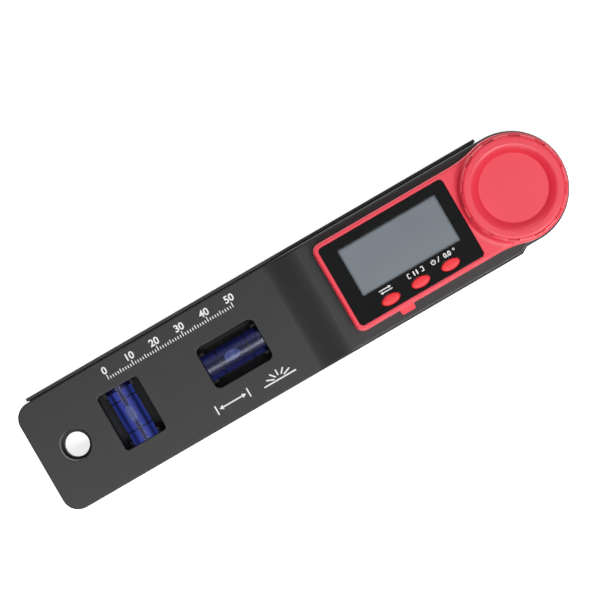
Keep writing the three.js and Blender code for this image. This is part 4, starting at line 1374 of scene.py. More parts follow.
@dataclass(frozen=True)
class UpperArm:
    """The arm that swings: shell with ramp and windows, straightedge, base plate and screws."""

    plan: Plan = PLAN
    wall: float = 2.0
    skin: float = 1.9
    tail_edge: float = 0.45
    head_edge: float = 1.1
    window_edge: float = 0.35
    window_lip: float = 0.4
    pocket_wall: float = 1.4
    hole_edge: float = 0.3
    strip_low: float = 0.4
    rib: float = 1.2
    rib_columns: tuple[float, ...] = (-127.5, -73.6, -42.0)
    boss_radius: float = 2.6
    boss_floor: float = 8.7
    hub_floor: float = 7.6
    post_floor: float = 11.1
    pin_floor: float = 10.0
    post_turn: float = 30.0
    board_posts: tuple[Point, ...] = ((-22.5, 12.5), (-22.5, -12.5), (-61.4, 12.5), (-38.1, -12.5))
    board_post_radius: float = 2.0
    stem_bore: float = 4.3
    ribbon_slot: Point = (-18.6, -16.6)
    ribbon_half: float = 2.8
    rotor_opening: float = 16.0
    saddle: float = 2.0
    saddle_wall: float = 1.0
    saddle_top: float = 12.7
    pad_top: float = 8.4
    screw_hole_top: float = 13.3
    screw_recess: float = 1.2
    screw_bearing: float = 6.9
    screw_length: float = 6.0
    screw_seed: int = 7

    def insets(self, share: float, grow: float) -> float:
        """Inset of the rounded edge at a share of the way up the ramp."""
        return grow * (self.tail_edge + (self.head_edge - self.tail_edge) * share)

    def ramp(self) -> Outline:
        """Stations of the ramp from its crest down to its foot: place along X, share of the rise.

        Returns:
            The stations.
        """
        plan = self.plan
        near, far = plan.ramp_foot + plan.ramp_ease, plan.crest - plan.ramp_ease
        stations = []
        for i in range(RAMP_STEPS, -1, -1):
            t = i / RAMP_STEPS
            u = 1 - t
            x = plan.ramp_foot * u**3 + 3 * near * t * u * u + 3 * far * t * t * u + plan.crest * t**3
            stations.append((x, t * t * (3 - 2 * t)))
        return stations

    def ring(self, grow: float, drop: float) -> Ring:
        """One ring of the arm's outside, at a step of its rounded top edge.

        Args:
            grow: Share of the edge's inset.
            drop: Share of the edge's drop.

        Returns:
            The places, from the bevel on the -Y side round the head.
        """
        plan = self.plan
        head, tail = self.head_edge * grow, self.tail_edge * grow
        head_z, tail_z = plan.ledge - self.head_edge * drop, plan.tail_top - self.tail_edge * drop

        def along(stations: Iterable[Point], way: int, width: float) -> Ring:
            """Places along one side of the ramp.

            Args:
                stations: Stations of the ramp.
                way: Side of the arm, 1 or -1.
                width: Half the arm's width on that side.

            Returns:
                The places.
            """
            return [
                (x, way * (width - self.insets(share, grow)), tail_z + (head_z - tail_z) * share)
                for x, share in stations
            ]

        rounds = [(plan.bevel_end, head - plan.edge), (plan.bevel_end + plan.bevel_run, head - plan.side)]
        rounds += arc(0, 0, plan.side - head, -90, 90, WIDE_FACES // 2)
        left = plan.tail + plan.tail_corner
        ends = tail_end(left, plan.side - tail, tail - plan.edge, plan.tail_corner - tail)
        return [
            *((x, y, head_z) for x, y in rounds), *along(self.ramp(), 1, plan.side),
            *((x, y, tail_z) for x, y in ends), *along(reversed(self.ramp()), -1, plan.edge),
        ]

    def outside(self) -> Solid:
        """The arm as one full body with its ramp and rounded edges.

        Returns:
            The full body.
        """
        rings = [[(x, y, self.plan.upper_base) for x, y, _ in self.ring(0.0, 0.0)]]
        rings += [self.ring(grow, drop) for grow, drop in quarter()]
        start = 3 + WIDE_FACES // 2
        tail = start + RAMP_STEPS + 1
        end = tail + 2 * (CORNER_STEPS + 1)
        near = list(range(start, tail))
        far = list(range(end + RAMP_STEPS, end - 1, -1))
        cap = [[far[0], *range(start), near[0]]]
        cap += [[near[i], near[i + 1], far[i + 1], far[i]] for i in range(RAMP_STEPS)]
        cap += [[near[-1], *range(tail, end), far[-1]]]
        return Solid.skinned(rings, cap)

    def outline(self, inset: float) -> Outline:
        """Plan of the arm, drawn in by an inset.

        Args:
            inset: How far it is drawn in.

        Returns:
            The outline.
        """
        plan = self.plan
        side, edge = plan.side - inset, plan.edge - inset
        return [
            (plan.bevel_end, -edge), (plan.bevel_end + plan.bevel_run, -side),
            *arc(0, 0, side, -90, 90, WIDE_FACES // 2),
            *tail_end(plan.tail + plan.tail_corner, side, -edge, plan.tail_corner - inset),
        ]

    def cavity(self) -> Solid:
        """The hollow inside, less what stands in it.

        Returns:
            The hollow.
        """
        plan = self.plan
        low = plan.tail_top - self.skin
        ceiling = [(plan.tail, 0.0), (plan.side, 0.0), (plan.side, plan.head_ceiling)]
        ceiling += [(x, low + (plan.head_ceiling - low) * share) for x, share in self.ramp()]
        ceiling.append((plan.tail, low))
        standing = [
            Solid.prism(window.outline(self.pocket_wall), plan.inner_floor, plan.ledge)
            for window in (plan.cross_window, plan.long_window)
        ]
        standing += Solid.rods(plan.base_screws(), self.boss_radius, self.boss_floor, plan.ledge + OVERRUN)
        hole_wall = plan.hole_radius + self.pocket_wall
        standing.append(Solid.rod(plan.hole, hole_wall, plan.inner_floor, plan.ledge))
        standing.append(Solid.rod(CENTRE, plan.hub_radius, self.hub_floor, plan.ledge))
        standing += plan.sensor_posts(
            self.post_turn, (self.post_floor, plan.ledge), (self.pin_floor, plan.ledge)
        )
        standing += [
            Solid.block(
                (x - self.rib / 2, -plan.edge, plan.inner_floor), (x + self.rib / 2, plan.edge, plan.ledge)
            )
            for x in self.rib_columns
        ]
        space = Solid.along_y(ceiling, -plan.edge, plan.edge)
        return Solid.prism(self.outline(self.wall), 0.0, plan.ledge).common(space).cut(*standing)

    def shell(self) -> Solid:
        """The whole upper moulding.

        Returns:
            The moulding.
        """
        plan = self.plan
        left, through = plan.tail + plan.tail_corner, plan.ledge + OVERRUN
        bevel = plan.bevel_end + plan.bevel_run * (plan.edge - plan.strip_inner) / (plan.edge - plan.side)
        strip = [
            (left, -plan.edge), (plan.bevel_end, -plan.edge), (bevel, -plan.strip_inner),
            (left, -plan.strip_inner),
        ]
        (slot_left, slot_right), half = self.ribbon_slot, self.ribbon_half
        inner = plan.head_ceiling - OVERRUN
        return self.outside().cut(self.cavity()).joined(
            Solid.prism(strip, self.strip_low, plan.upper_base + OVERRUN),
            *Solid.rods(
                self.board_posts, self.board_post_radius, plan.ledge - OVERRUN, plan.board_bottom - FACE_GAP
            ),
        ).cut(
            *(
                mouth(
                    lambda grow, window=window: window.outline(grow - self.window_lip), 0.0, plan.tail_top,
                    self.window_edge,
                )
                for window in (plan.cross_window, plan.long_window)
            ),
            mouth(
                lambda grow: circle(*plan.hole, plan.hole_radius + grow), 0.0, plan.tail_top,
                self.hole_edge,
            ),
            Solid.rod(CENTRE, self.stem_bore, 0.0, through),
            Solid.block((slot_left, -half, inner), (slot_right, half, through)),
            *Solid.rods(plan.base_screws(), plan.shank_hole, 0.0, self.screw_hole_top),
            *Solid.rods(plan.housing_screws(), plan.shank_hole, inner, through),
        )

    def saddles(self) -> list[Solid]:
        """The forks that hold both levels by their ends.

        Returns:
            The forks, two for each level.
        """
        plan = self.plan
        low, high, thick = plan.upper_base, self.saddle_top, self.saddle / 2
        half, bed = plan.vial_radius + self.saddle_wall, plan.vial_radius + FACE_GAP
        (cx, cy), (lx, ly) = plan.cross_window.middle, plan.long_window.middle
        cross_bed = Solid.along_y(circle(cx, plan.vial_axis, bed), -plan.edge, plan.edge)
        long_bed = Solid.along_x(circle(ly, plan.vial_axis, bed), plan.tail, 0.0)
        forks = []
        for side in (-1, 1):
            y = cy + side * (plan.cross_window.size[1] / 2 - (thick + SEAT_GAP))
            x = lx + side * (plan.long_window.size[0] / 2 - (thick + SEAT_GAP))
            forks.append(
                Solid.block((cx - half, y - thick, low), (cx + half, y + thick, high)).cut(cross_bed)
            )
            forks.append(Solid.block((x - thick, ly - half, low), (x + thick, ly + half, high)).cut(long_bed))
        return forks

    def base_plate(self) -> Solid:
        """The plate that closes the underside and carries the levels.

        Returns:
            The plate.
        """
        plan = self.plan
        outline = self.outline(self.wall + SEAT_GAP)
        within = Solid.prism(outline, plan.upper_base, plan.tail_top)
        wide = plan.screw_head + self.pocket_wall
        pads = Solid.rods(plan.base_screws(), wide, plan.upper_base, self.pad_top)
        holes = [
            Solid.rod(place, radius, 0.0, top, SMALL_FACES)
            for place in plan.base_screws()
            for radius, top in (
                (plan.screw_head + FIT_GAP, plan.upper_base + self.screw_recess),
                (plan.shank_hole, plan.tail_top),
            )
        ]
        return Solid.prism(outline, plan.upper_base, plan.plate_top).joined(
            *(pad.common(within) for pad in pads), *self.saddles()
        ).cut(
            *holes,
            Solid.rod(plan.hole, plan.hole_radius, 0.0, plan.tail_top),
            Solid.rod(CENTRE, self.rotor_opening, 0.0, plan.tail_top, WIDE_FACES),
        )

    def build(self) -> None:
        """Makes and dresses the upper arm."""
        body = Body.UPPER_ARM
        finish_piece(self.shell(), "upper_arm_moulding", CHARCOAL_ABS, body, "upper_arm_shell")
        finish_piece(self.base_plate(), "base_plate_moulding", PLATE_ABS, body, "base_plate", bevel_mm=0.12)
        ScrewSet(
            "base_plate_screws", "base_plate_screw", self.plan.base_screws(), self.screw_bearing,
            self.screw_length, self.screw_seed,
        ).build()
        dress_nodes(TURNED_BRASS, "pivot_bush")
        dress_nodes(NATURAL_NYLON, "clamp_washer")
        dress_nodes(CIRCUIT, "stator_board")
        dress_nodes(POLYIMIDE, "stator_ribbon")


# Levels


@dataclass(frozen=True)
class Level:
    """One level: acrylic tube, plug, dyed liquid with its bubble, and two marker rings."""

    name: str
    place: Point
    length: float
    heading: float
    bubble_shift: float
    spirit: DyedSpirit
    plan: Plan = PLAN
    wall: float = 0.8
    end_wall: float = 0.5
    end_edge: float = 0.5
    plug_length: float = 1.5
    plug_dimple: float = 0.4
    gap: float = 0.1
    soak: float = 0.02
    ring_spacing: float = 11.4
    ring_width: float = 0.45
    bubble_length: float = 6.0
    bubble_radius: float = 1.8

    def laid(self, solid: Solid) -> Solid:
        """A solid made upright, laid along the level and put in its place."""
        turn = Matrix.Rotation(math.radians(self.heading), 4, "Z") @ Matrix.Rotation(math.pi / 2, 4, "Y")
        return solid.placed(*self.place, self.plan.vial_axis, turn)

    def tube(self) -> Solid:
        """The tube, closed at one end and bored from the other.

        Returns:
            The tube.
        """
        radius, half, edge = self.plan.vial_radius, self.length / 2, self.end_edge
        bore, floor = radius - self.wall, -half + self.end_wall
        return self.laid(Solid.turned([
            (0, -half), *rounded_foot(radius, -half, edge), *rounded_rim(radius, half, edge / 2),
            (bore, half), (bore, floor), (0, floor),
        ]))

    def plug(self) -> Solid:
        """The plug that closes the bored end, with a dimple in its face.

        Returns:
            The plug.
        """
        radius, half, dimple = self.bore_radius(), self.length / 2, self.plug_dimple
        root = half - self.plug_length
        return self.laid(Solid.turned([
            (0, root), (radius, root), (radius, half - dimple / 2), (radius - dimple / 2, half),
            (radius / 3, half), (0, half - dimple),
        ]))

    def bore_radius(self) -> float:
        """Radius that the plug and the liquid fill: no air shows between them and the wall."""
        return self.plan.vial_radius - self.wall + self.soak

    def bubble(self, shrink: float) -> Solid:
        """The bubble before it is laid, pressed against the upper side of the bore.

        Args:
            shrink: How much smaller than its hollow it is.

        Returns:
            The bubble.
        """
        radius, half = self.bubble_radius - shrink, self.bubble_length / 2 - shrink
        steps = [math.pi * i / SMALL_FACES for i in range(1, SMALL_FACES)]
        profile = [(0, -half), *((radius * math.sin(t), -half * math.cos(t)) for t in steps), (0, half)]
        return Solid.turned(profile, SMALL_FACES).placed(-self.bore_radius(), 0, self.bubble_shift)

    def filling(self) -> Solid:
        """The inside of the bore before it is laid.

        Returns:
            The filling.
        """
        radius = self.bore_radius()
        low = self.end_wall - self.length / 2 - self.soak
        high = self.length / 2 - self.plug_length + self.soak
        return Solid.turned([(0, low), (radius, low), (radius, high), (0, high)])

    def liquid(self) -> Solid:
        """The liquid with the bubble as a hollow in its upper side."""
        return self.laid(self.filling().cut(self.bubble(0.0)))

    def air(self) -> Solid:
        """The air that fills the hollow."""
        return self.laid(self.bubble(self.gap / 2).common(self.filling()))

    def rings(self) -> Solid:
        """Both marker rings as thin printed bands round the tube.

        Returns:
            Both rings.
        """
        inner, outer = self.plan.vial_radius + INK_FOOT, self.plan.vial_radius + INK
        half = self.ring_width / 2
        band = Solid.turned([(inner, -half), (outer, -half), (outer, half), (inner, half), (inner, -half)])
        pattern = Pattern(f"{self.name}_rings")
        spacing = pattern.size("Ring Spacing", self.ring_spacing * MM)
        start = pattern.add("ShaderNodeMath", {0: spacing, 1: -0.5}, operation="MULTIPLY")
        line = pattern.add("GeometryNodeMeshLine", {
            "Count": pattern.count("Ring Count", 2),
            "Start Location": pattern.add("ShaderNodeCombineXYZ", {"Z": start}),
            "Offset": pattern.add("ShaderNodeCombineXYZ", {"Z": spacing}),
        })
        copies = pattern.add(
            "GeometryNodeInstanceOnPoints", {"Points": line, "Instance": pattern.shape("Band", band)}
        )
        return self.laid(pattern.run(band, copies, RING_PRINT))

    def build(self) -> None:
        """Makes and dresses the level."""
        for solid, ending, finish, *nodes in (
            (self.tube(), "acrylic", ACRYLIC, f"{self.name}_tube"),
            (self.plug(), "end", VIAL_PLUG, f"{self.name}_plug"),
            (self.liquid(), "spirit", self.spirit, f"{self.name}_liquid"),
            (self.air(), "bubble", BUBBLE),
            (self.rings(), "marks", RING_PRINT),
        ):
            finish_piece(solid, f"{self.name}_{ending}", finish, Body.UPPER_ARM, *nodes)


# Buttons


@dataclass(frozen=True)
class Buttons:
    """The row of three oval push buttons."""

    columns: tuple[float, ...] = (-55.5, -43.65, -31.8)
    row_y: float = -12.05
    length: float = 7.1
    width: float = 3.65
    bottom: float = 26.4
    flange: float = 0.5
    flange_rim: float = 0.45
    top: float = 28.9
    edge: float = 0.55
    crown: float = 0.12
    crown_steps: tuple[float, ...] = (0.3, 0.6, 0.85)
    crease: float = 50.0

    def outline(self, x: float, grow: float) -> Outline:
        """Oval of the button at a place along the row, grown outwards."""
        return oval(x, self.row_y, self.length + 2 * grow, self.width + 2 * grow)

    def button(self, x: float) -> Solid:
        """One button at a place along the row: an oval cap with a soft crown over its flange.

        Args:
            x: Its place.

        Returns:
            The button.
        """
        shoulder = self.top - self.crown
        levels = eased(lambda inset: self.outline(x, -inset), self.bottom, shoulder, self.edge)
        levels += [
            (
                self.outline(x, -(self.edge + (self.width / 2 - self.edge) * t)),
                shoulder + self.crown * (1 - (1 - t) ** 2),
            )
            for t in self.crown_steps
        ]
        flange = Solid.prism(self.outline(x, self.flange_rim), self.bottom, self.bottom + self.flange)
        return Solid.raised(levels).joined(flange)

    def build(self) -> None:
        """Makes and dresses the buttons, each on its own body."""
        for x, body in zip(self.columns, (Body.MODE, Body.HOLD, Body.POWER)):
            name = body.value
            finish_piece(self.button(x), f"{name}_cap", RED_BUTTON, body, name, crease=self.crease)


# Display unit


@dataclass(frozen=True)
class DisplayUnit:
    """The red housing with its face panel, display, signs and inner parts."""

    buttons: Buttons
    plan: Plan = PLAN
    corner: float = 3.1
    sweep_radius: float = 37.0
    foot: float = 20.5
    draft: float = 0.2
    edge: float = 0.8
    wall: float = 1.8
    boss_radius: float = 2.3
    boss_top: float = 26.2
    pedestal_inset: float = 0.8
    pedestal_flare: float = 2.8
    pedestal_edge: float = 0.4
    pedestal_skin: float = 2.0
    stem_hole: float = 7.0
    panel: Opening = Opening((-44.45, 0.1), (49.3, 30.6), 1.5)
    panel_gap: float = 0.06
    panel_ledge: float = 0.5
    panel_edge: float = 0.12
    rim_edge: float = 0.15
    glass: Opening = Opening((-43.9, 2.55), (39.0, 18.3), 0.6, True)
    glass_top: float = 27.6
    glass_edge: float = 0.15
    glass_flange: float = 0.9
    glass_bottom: float = 26.3
    screw_depth: float = 4.35
    screw_length: float = 6.3
    screw_seed: int = 11

    def outline(self, inset: float) -> Outline:
        """Plan of the housing: a box that sweeps out into a round end.

        Args:
            inset: How far it is drawn in.

        Returns:
            The outline.
        """
        plan = self.plan
        sweep_y = plan.housing_half + self.sweep_radius
        sweep_x = -math.sqrt((plan.housing_radius + self.sweep_radius)**2 - sweep_y**2)
        turn = math.degrees(math.atan2(sweep_y, -sweep_x))
        half = plan.housing_half - inset
        return [
            *arc(sweep_x, -sweep_y, self.sweep_radius + inset, 90, turn),
            *arc(0, 0, plan.housing_radius - inset, turn - 180, 180 - turn, WIDE_FACES)[1:-1],
            *arc(sweep_x, sweep_y, self.sweep_radius + inset, -turn, -90),
            *tail_end(plan.housing_far + self.corner, half, -half, self.corner - inset),
        ]

    def pedestal(self) -> Solid:
        """The round seat under the knob, with a hollow curve round its foot.

        Returns:
            The pedestal.
        """
        top, edge = self.plan.housing_radius - self.pedestal_inset, self.pedestal_edge
        foot = top + self.pedestal_flare
        base, crown = self.plan.housing_top, self.plan.pedestal_top
        curve = []
        for i in range(CURVE_STEPS + 1):
            t = i / CURVE_STEPS
            u = 1 - t
            radius = foot * u * u + top * (2 * u * t + t * t)
            curve.append((radius, base * (u * u + 2 * u * t) + (crown - edge) * t * t))
        profile = [
            (0, base - self.edge), (foot, base - self.edge), *curve,
            *rounded_rim(top, crown, edge)[1:], (0, crown),
        ]
        plan_prism = Solid.prism(self.outline(self.draft + self.edge), base - 2 * self.edge, crown + OVERRUN)
        return Solid.turned(profile, WIDE_FACES).common(plan_prism)

    def housing(self) -> Solid:
        """The red moulding with its bezel, flared pedestal, bosses and tray opening.

        Returns:
            The housing.
        """
        plan = self.plan
        body = Solid.raised(eased(self.outline, self.foot, plan.housing_top, self.edge, self.draft))
        bosses = Solid.rods(plan.housing_screws(), self.boss_radius, 0.0, self.boss_top + OVERRUN)
        inside = plan.housing_radius - self.wall - self.pedestal_inset
        tray_half, above = plan.tray_half() + SEAT_GAP, plan.pedestal_top + OVERRUN
        return body.joined(self.pedestal()).cut(
            Solid.prism(self.outline(self.wall), 0.0, self.boss_top).cut(*bosses),
            Solid.prism(self.panel.outline(-self.panel_ledge), 0.0, above),
            mouth(
                lambda grow: self.panel.outline(self.panel_gap + grow), plan.panel_bottom - FACE_GAP,
                plan.housing_top, self.rim_edge,
            ),
            Solid.rod(CENTRE, inside, 0.0, plan.pedestal_top - self.pedestal_skin, WIDE_FACES),
            Solid.rod(CENTRE, self.stem_hole, 0.0, above),
            Solid.block(
                (plan.tray_x - tray_half, -plan.edge, 0.0),
                (plan.tray_x + tray_half, 0.0, plan.cell_top + SEAT_GAP),
            ),
            *Solid.rods(plan.housing_screws(), plan.shank_hole, 0.0, self.foot + self.screw_depth),
        )

    def face_panel(self) -> Solid:
        """The black face panel with openings for the display and the buttons.

        Returns:
            The panel.
        """
        low, top, edge = self.plan.panel_bottom, self.plan.panel_top, self.panel_edge
        holes = [
            mouth(lambda grow, x=x: self.buttons.outline(x, FIT_GAP + grow), low - OVERRUN, top, edge)
            for x in self.buttons.columns
        ]
        return Solid.raised(eased(lambda inset: self.panel.outline(-inset), low, top, edge)).cut(
            mouth(self.glass.outline, low - OVERRUN, top, edge), *holes
        )

    def display(self) -> Solid:
        """The display with the flange that holds it under the panel.

        Returns:
            The display.
        """
        low = self.glass_bottom
        levels = eased(
            lambda inset: self.glass.outline(-FACE_GAP - inset), low, self.glass_top, self.glass_edge
        )
        flange = self.glass.outline(self.glass_flange)
        return Solid.raised(levels).joined(Solid.prism(flange, low, self.plan.panel_bottom - FACE_GAP))

    def build(self) -> None:
        """Makes and dresses the display unit."""
        body = Body.UPPER_ARM
        finish_piece(self.housing(), "display_housing_red", RED_ABS, body, "display_housing")
        finish_piece(self.face_panel(), "face_panel", PANEL_FILM, body, "display_panel")
        finish_piece(self.display(), "display_window", DISPLAY_GREY, body, "lcd_glass")
        ScrewSet(
            "housing_screws", "housing_screw", self.plan.housing_screws(), self.plan.head_ceiling - FACE_GAP,
            self.screw_length, self.screw_seed,
        ).build()
        dress_nodes(ZEBRA, "zebra_strip_1", "zebra_strip_2")
        dress_nodes(CIRCUIT, "main_board")
        dress_nodes(CHIP_RESIN, "controller_chip")
        dress_nodes(
            SPRING_STEEL, "button_dome_1", "button_dome_2", "button_dome_3", "battery_contact_minus",
            "battery_contact_plus",
        )


# Battery tray


@dataclass(frozen=True)
class BatteryTray:
    """The sliding tray with its finger tab, and the coin cell in it."""

    plan: Plan = PLAN
    floor: float = 0.6
    rim_drop: float = 0.9
    back: float = 15.4
    front: float = 17.0
    tab_width: float = 5.8
    tab_reach: float = 1.85
    tab_height: float = 1.6
    tab_corner: float = 0.6
    tab_slant: float = 0.25
    cell_edge: float = 0.35
    crimp: float = 0.45
    crimp_dip: float = 1.6

    def tab(self) -> Solid:
        """The tab that the tray is pulled by, a little narrower at its tip.

        Returns:
            The tab.
        """
        plan, corner = self.plan, self.tab_corner
        root, centre_y = -self.front + OVERRUN, -(plan.housing_half + self.tab_reach) + corner
        half = self.tab_width / 2
        near = half - self.tab_slant
        outline = [
            (plan.tray_x + half, root),
            *arc(plan.tray_x + near - corner, centre_y, corner, 360, 270),
            *arc(plan.tray_x - near + corner, centre_y, corner, 270, 180),
            (plan.tray_x - half, root),
        ]
        middle = (plan.tray_bottom + plan.cell_top) / 2
        return Solid.prism(outline, middle - self.tab_height / 2, middle + self.tab_height / 2)

    def tray(self) -> Solid:
        """The tray round the cell, with its closing front.

        Returns:
            The tray.
        """
        plan = self.plan
        left, right = plan.tray_x - plan.tray_half(), plan.tray_x + plan.tray_half()
        bed = [(left, -self.back), (right, -self.back)]
        bed += arc(plan.tray_x, plan.cell_y, plan.tray_half(), 0, 180, MEDIUM_FACES)
        return Solid.prism(bed, plan.tray_bottom, plan.cell_top - self.rim_drop).joined(
            Solid.block((left, -self.front, plan.tray_bottom), (right, -self.back + FACE_GAP, plan.cell_top)),
            self.tab(),
        ).cut(Solid.rod(
            (plan.tray_x, plan.cell_y), plan.cell_radius + SEAT_GAP, plan.tray_bottom + self.floor,
            plan.cell_top + OVERRUN, WIDE_FACES,
        ))

    def cell(self) -> Solid:
        """The coin cell: wide can below, crimped rim and a raised cap above.

        Returns:
            The cell.
        """
        plan, edge = self.plan, self.cell_edge
        radius, low, high = plan.cell_radius, plan.cell_bottom, plan.cell_top
        profile = [
            (0, low), *rounded_foot(radius, low, edge), (radius, high - 2 * edge),
            (radius - edge, high - edge),
            (radius - 2 * edge, high - edge), (radius - 2 * edge - self.crimp, high - self.crimp_dip * edge),
            (radius - 3 * edge - self.crimp, high), (0, high),
        ]
        return Solid.turned(profile, WIDE_FACES).placed(plan.tray_x, plan.cell_y)

    def build(self) -> None:
        """Makes and dresses the tray and its cell."""
        finish_piece(self.tray(), "battery_tray_red", RED_ABS, Body.TRAY, "battery_tray", bevel_mm=0.12)
        finish_piece(self.cell(), "coin_cell_can", NICKEL_CAN, Body.TRAY, "coin_cell")


# Locking knob


@dataclass(frozen=True)
class LockKnob:
    """The dished red knob that locks the arms."""

    plan: Plan = PLAN
    bottom: float = 30.3
    top: float = 34.8
    dish: float = 32.9
    foot_edge: float = 0.2
    rim_edge: float = 1.5
    rim_inner: float = 15.2
    dish_radius: float = 12.05
    slope_power: float = 1.6
    slope_share: float = 0.85
    floor_power: float = 1.2
    floor_share: float = 0.15
    skin_under: float = 31.3
    wall: float = 1.7
    stem_radius: float = 6.0
    stem_bottom: float = 22.5
    nut_top: float = 27.5
    nut_across: float = 8.0
    bolt_room: float = 2.5
    notches: int = 12
    notch_length: float = 4.2
    notch_depth: float = 0.85
    notch_floor: float = 32.8
    notch_lip: float = 0.26
    notch_lip_top: float = 33.5

    def turning(self) -> Solid:
        """The knob before its notches are cut.

        Returns:
            The knob without notches.
        """
        radius, edge = self.plan.knob_radius, self.foot_edge
        slope = []
        for i in range(CURVE_STEPS + 1):
            t = i / CURVE_STEPS
            flattening = 1 - math.cos(math.pi / 2 * t) ** self.floor_power
            share = t**self.slope_power * self.slope_share + flattening * self.floor_share
            slope.append((
                self.rim_inner - (self.rim_inner - self.dish_radius) * t,
                self.top - (self.top - self.dish) * share,
            ))
        return Solid.turned([
            (0, self.stem_bottom), (self.stem_radius, self.stem_bottom), (self.stem_radius, self.skin_under),
            (radius - self.wall, self.skin_under), (radius - self.wall, self.bottom),
            (radius - edge, self.bottom),
            (radius, self.bottom + edge), *rounded_rim(radius, self.top, self.rim_edge, CORNER_STEPS), *slope,
            (0, self.dish),
        ], WIDE_FACES)

    def notched(self, body: Solid) -> Solid:
        """The knob with its grip notches round the rim.

        Args:
            body: The knob before its notches are cut.

        Returns:
            The notched knob.
        """
        inner, outer = self.plan.knob_radius - self.notch_depth, self.plan.knob_radius - self.notch_lip
        over = self.top + OVERRUN
        slot, open_slot = [
            Solid.prism(
                rounded_box(inner + reach / 2, 0, reach, self.notch_length, self.notch_lip), low, over
            )
            for reach, low in (
                (outer - inner, self.notch_floor), (outer - inner + 2 * OVERRUN, self.notch_lip_top)
            )
        ]
        pattern = Pattern("grip_notches")
        count = pattern.count("Notch Count", self.notches)
        line = pattern.add("GeometryNodeMeshLine", {"Count": count, "Offset": (0.0, 0.0, 0.0)})
        index = pattern.add("GeometryNodeInputIndex")
        share = pattern.add("ShaderNodeMath", {0: index, 1: count}, operation="DIVIDE")
        angle = pattern.add("ShaderNodeMath", {0: share, 1: math.tau}, operation="MULTIPLY")
        copies = pattern.add("GeometryNodeInstanceOnPoints", {
            "Points": line, "Instance": pattern.shape("Notch", slot.joined(open_slot)),
            "Rotation": pattern.add("ShaderNodeCombineXYZ", {"Z": angle}),
        })
        tools = pattern.add("GeometryNodeRealizeInstances", {"Geometry": copies})
        cut = pattern.add(
            "GeometryNodeMeshBoolean", {"Mesh 1": pattern.start.outputs[0], "Mesh 2": tools},
            operation=Combine.CUT.value, solver="MANIFOLD",
        )
        return pattern.run(body, cut, RED_ABS)

    def build(self) -> None:
        """Makes and dresses the knob."""
        nut_hole = self.nut_across / math.sqrt(3) + FIT_GAP
        knob = self.notched(self.turning()).cut(
            Solid.rod(CENTRE, nut_hole, self.stem_bottom - OVERRUN, self.nut_top + FIT_GAP, HEX_FACES),
            Solid.rod(CENTRE, self.plan.bolt_hole, self.stem_bottom, self.nut_top + self.bolt_room),
        )
        finish_piece(knob, "lock_knob_red", RED_ABS, Body.KNOB, "lock_knob")
        dress_nodes(TURNED_BRASS, "knob_nut")


# Printed marks


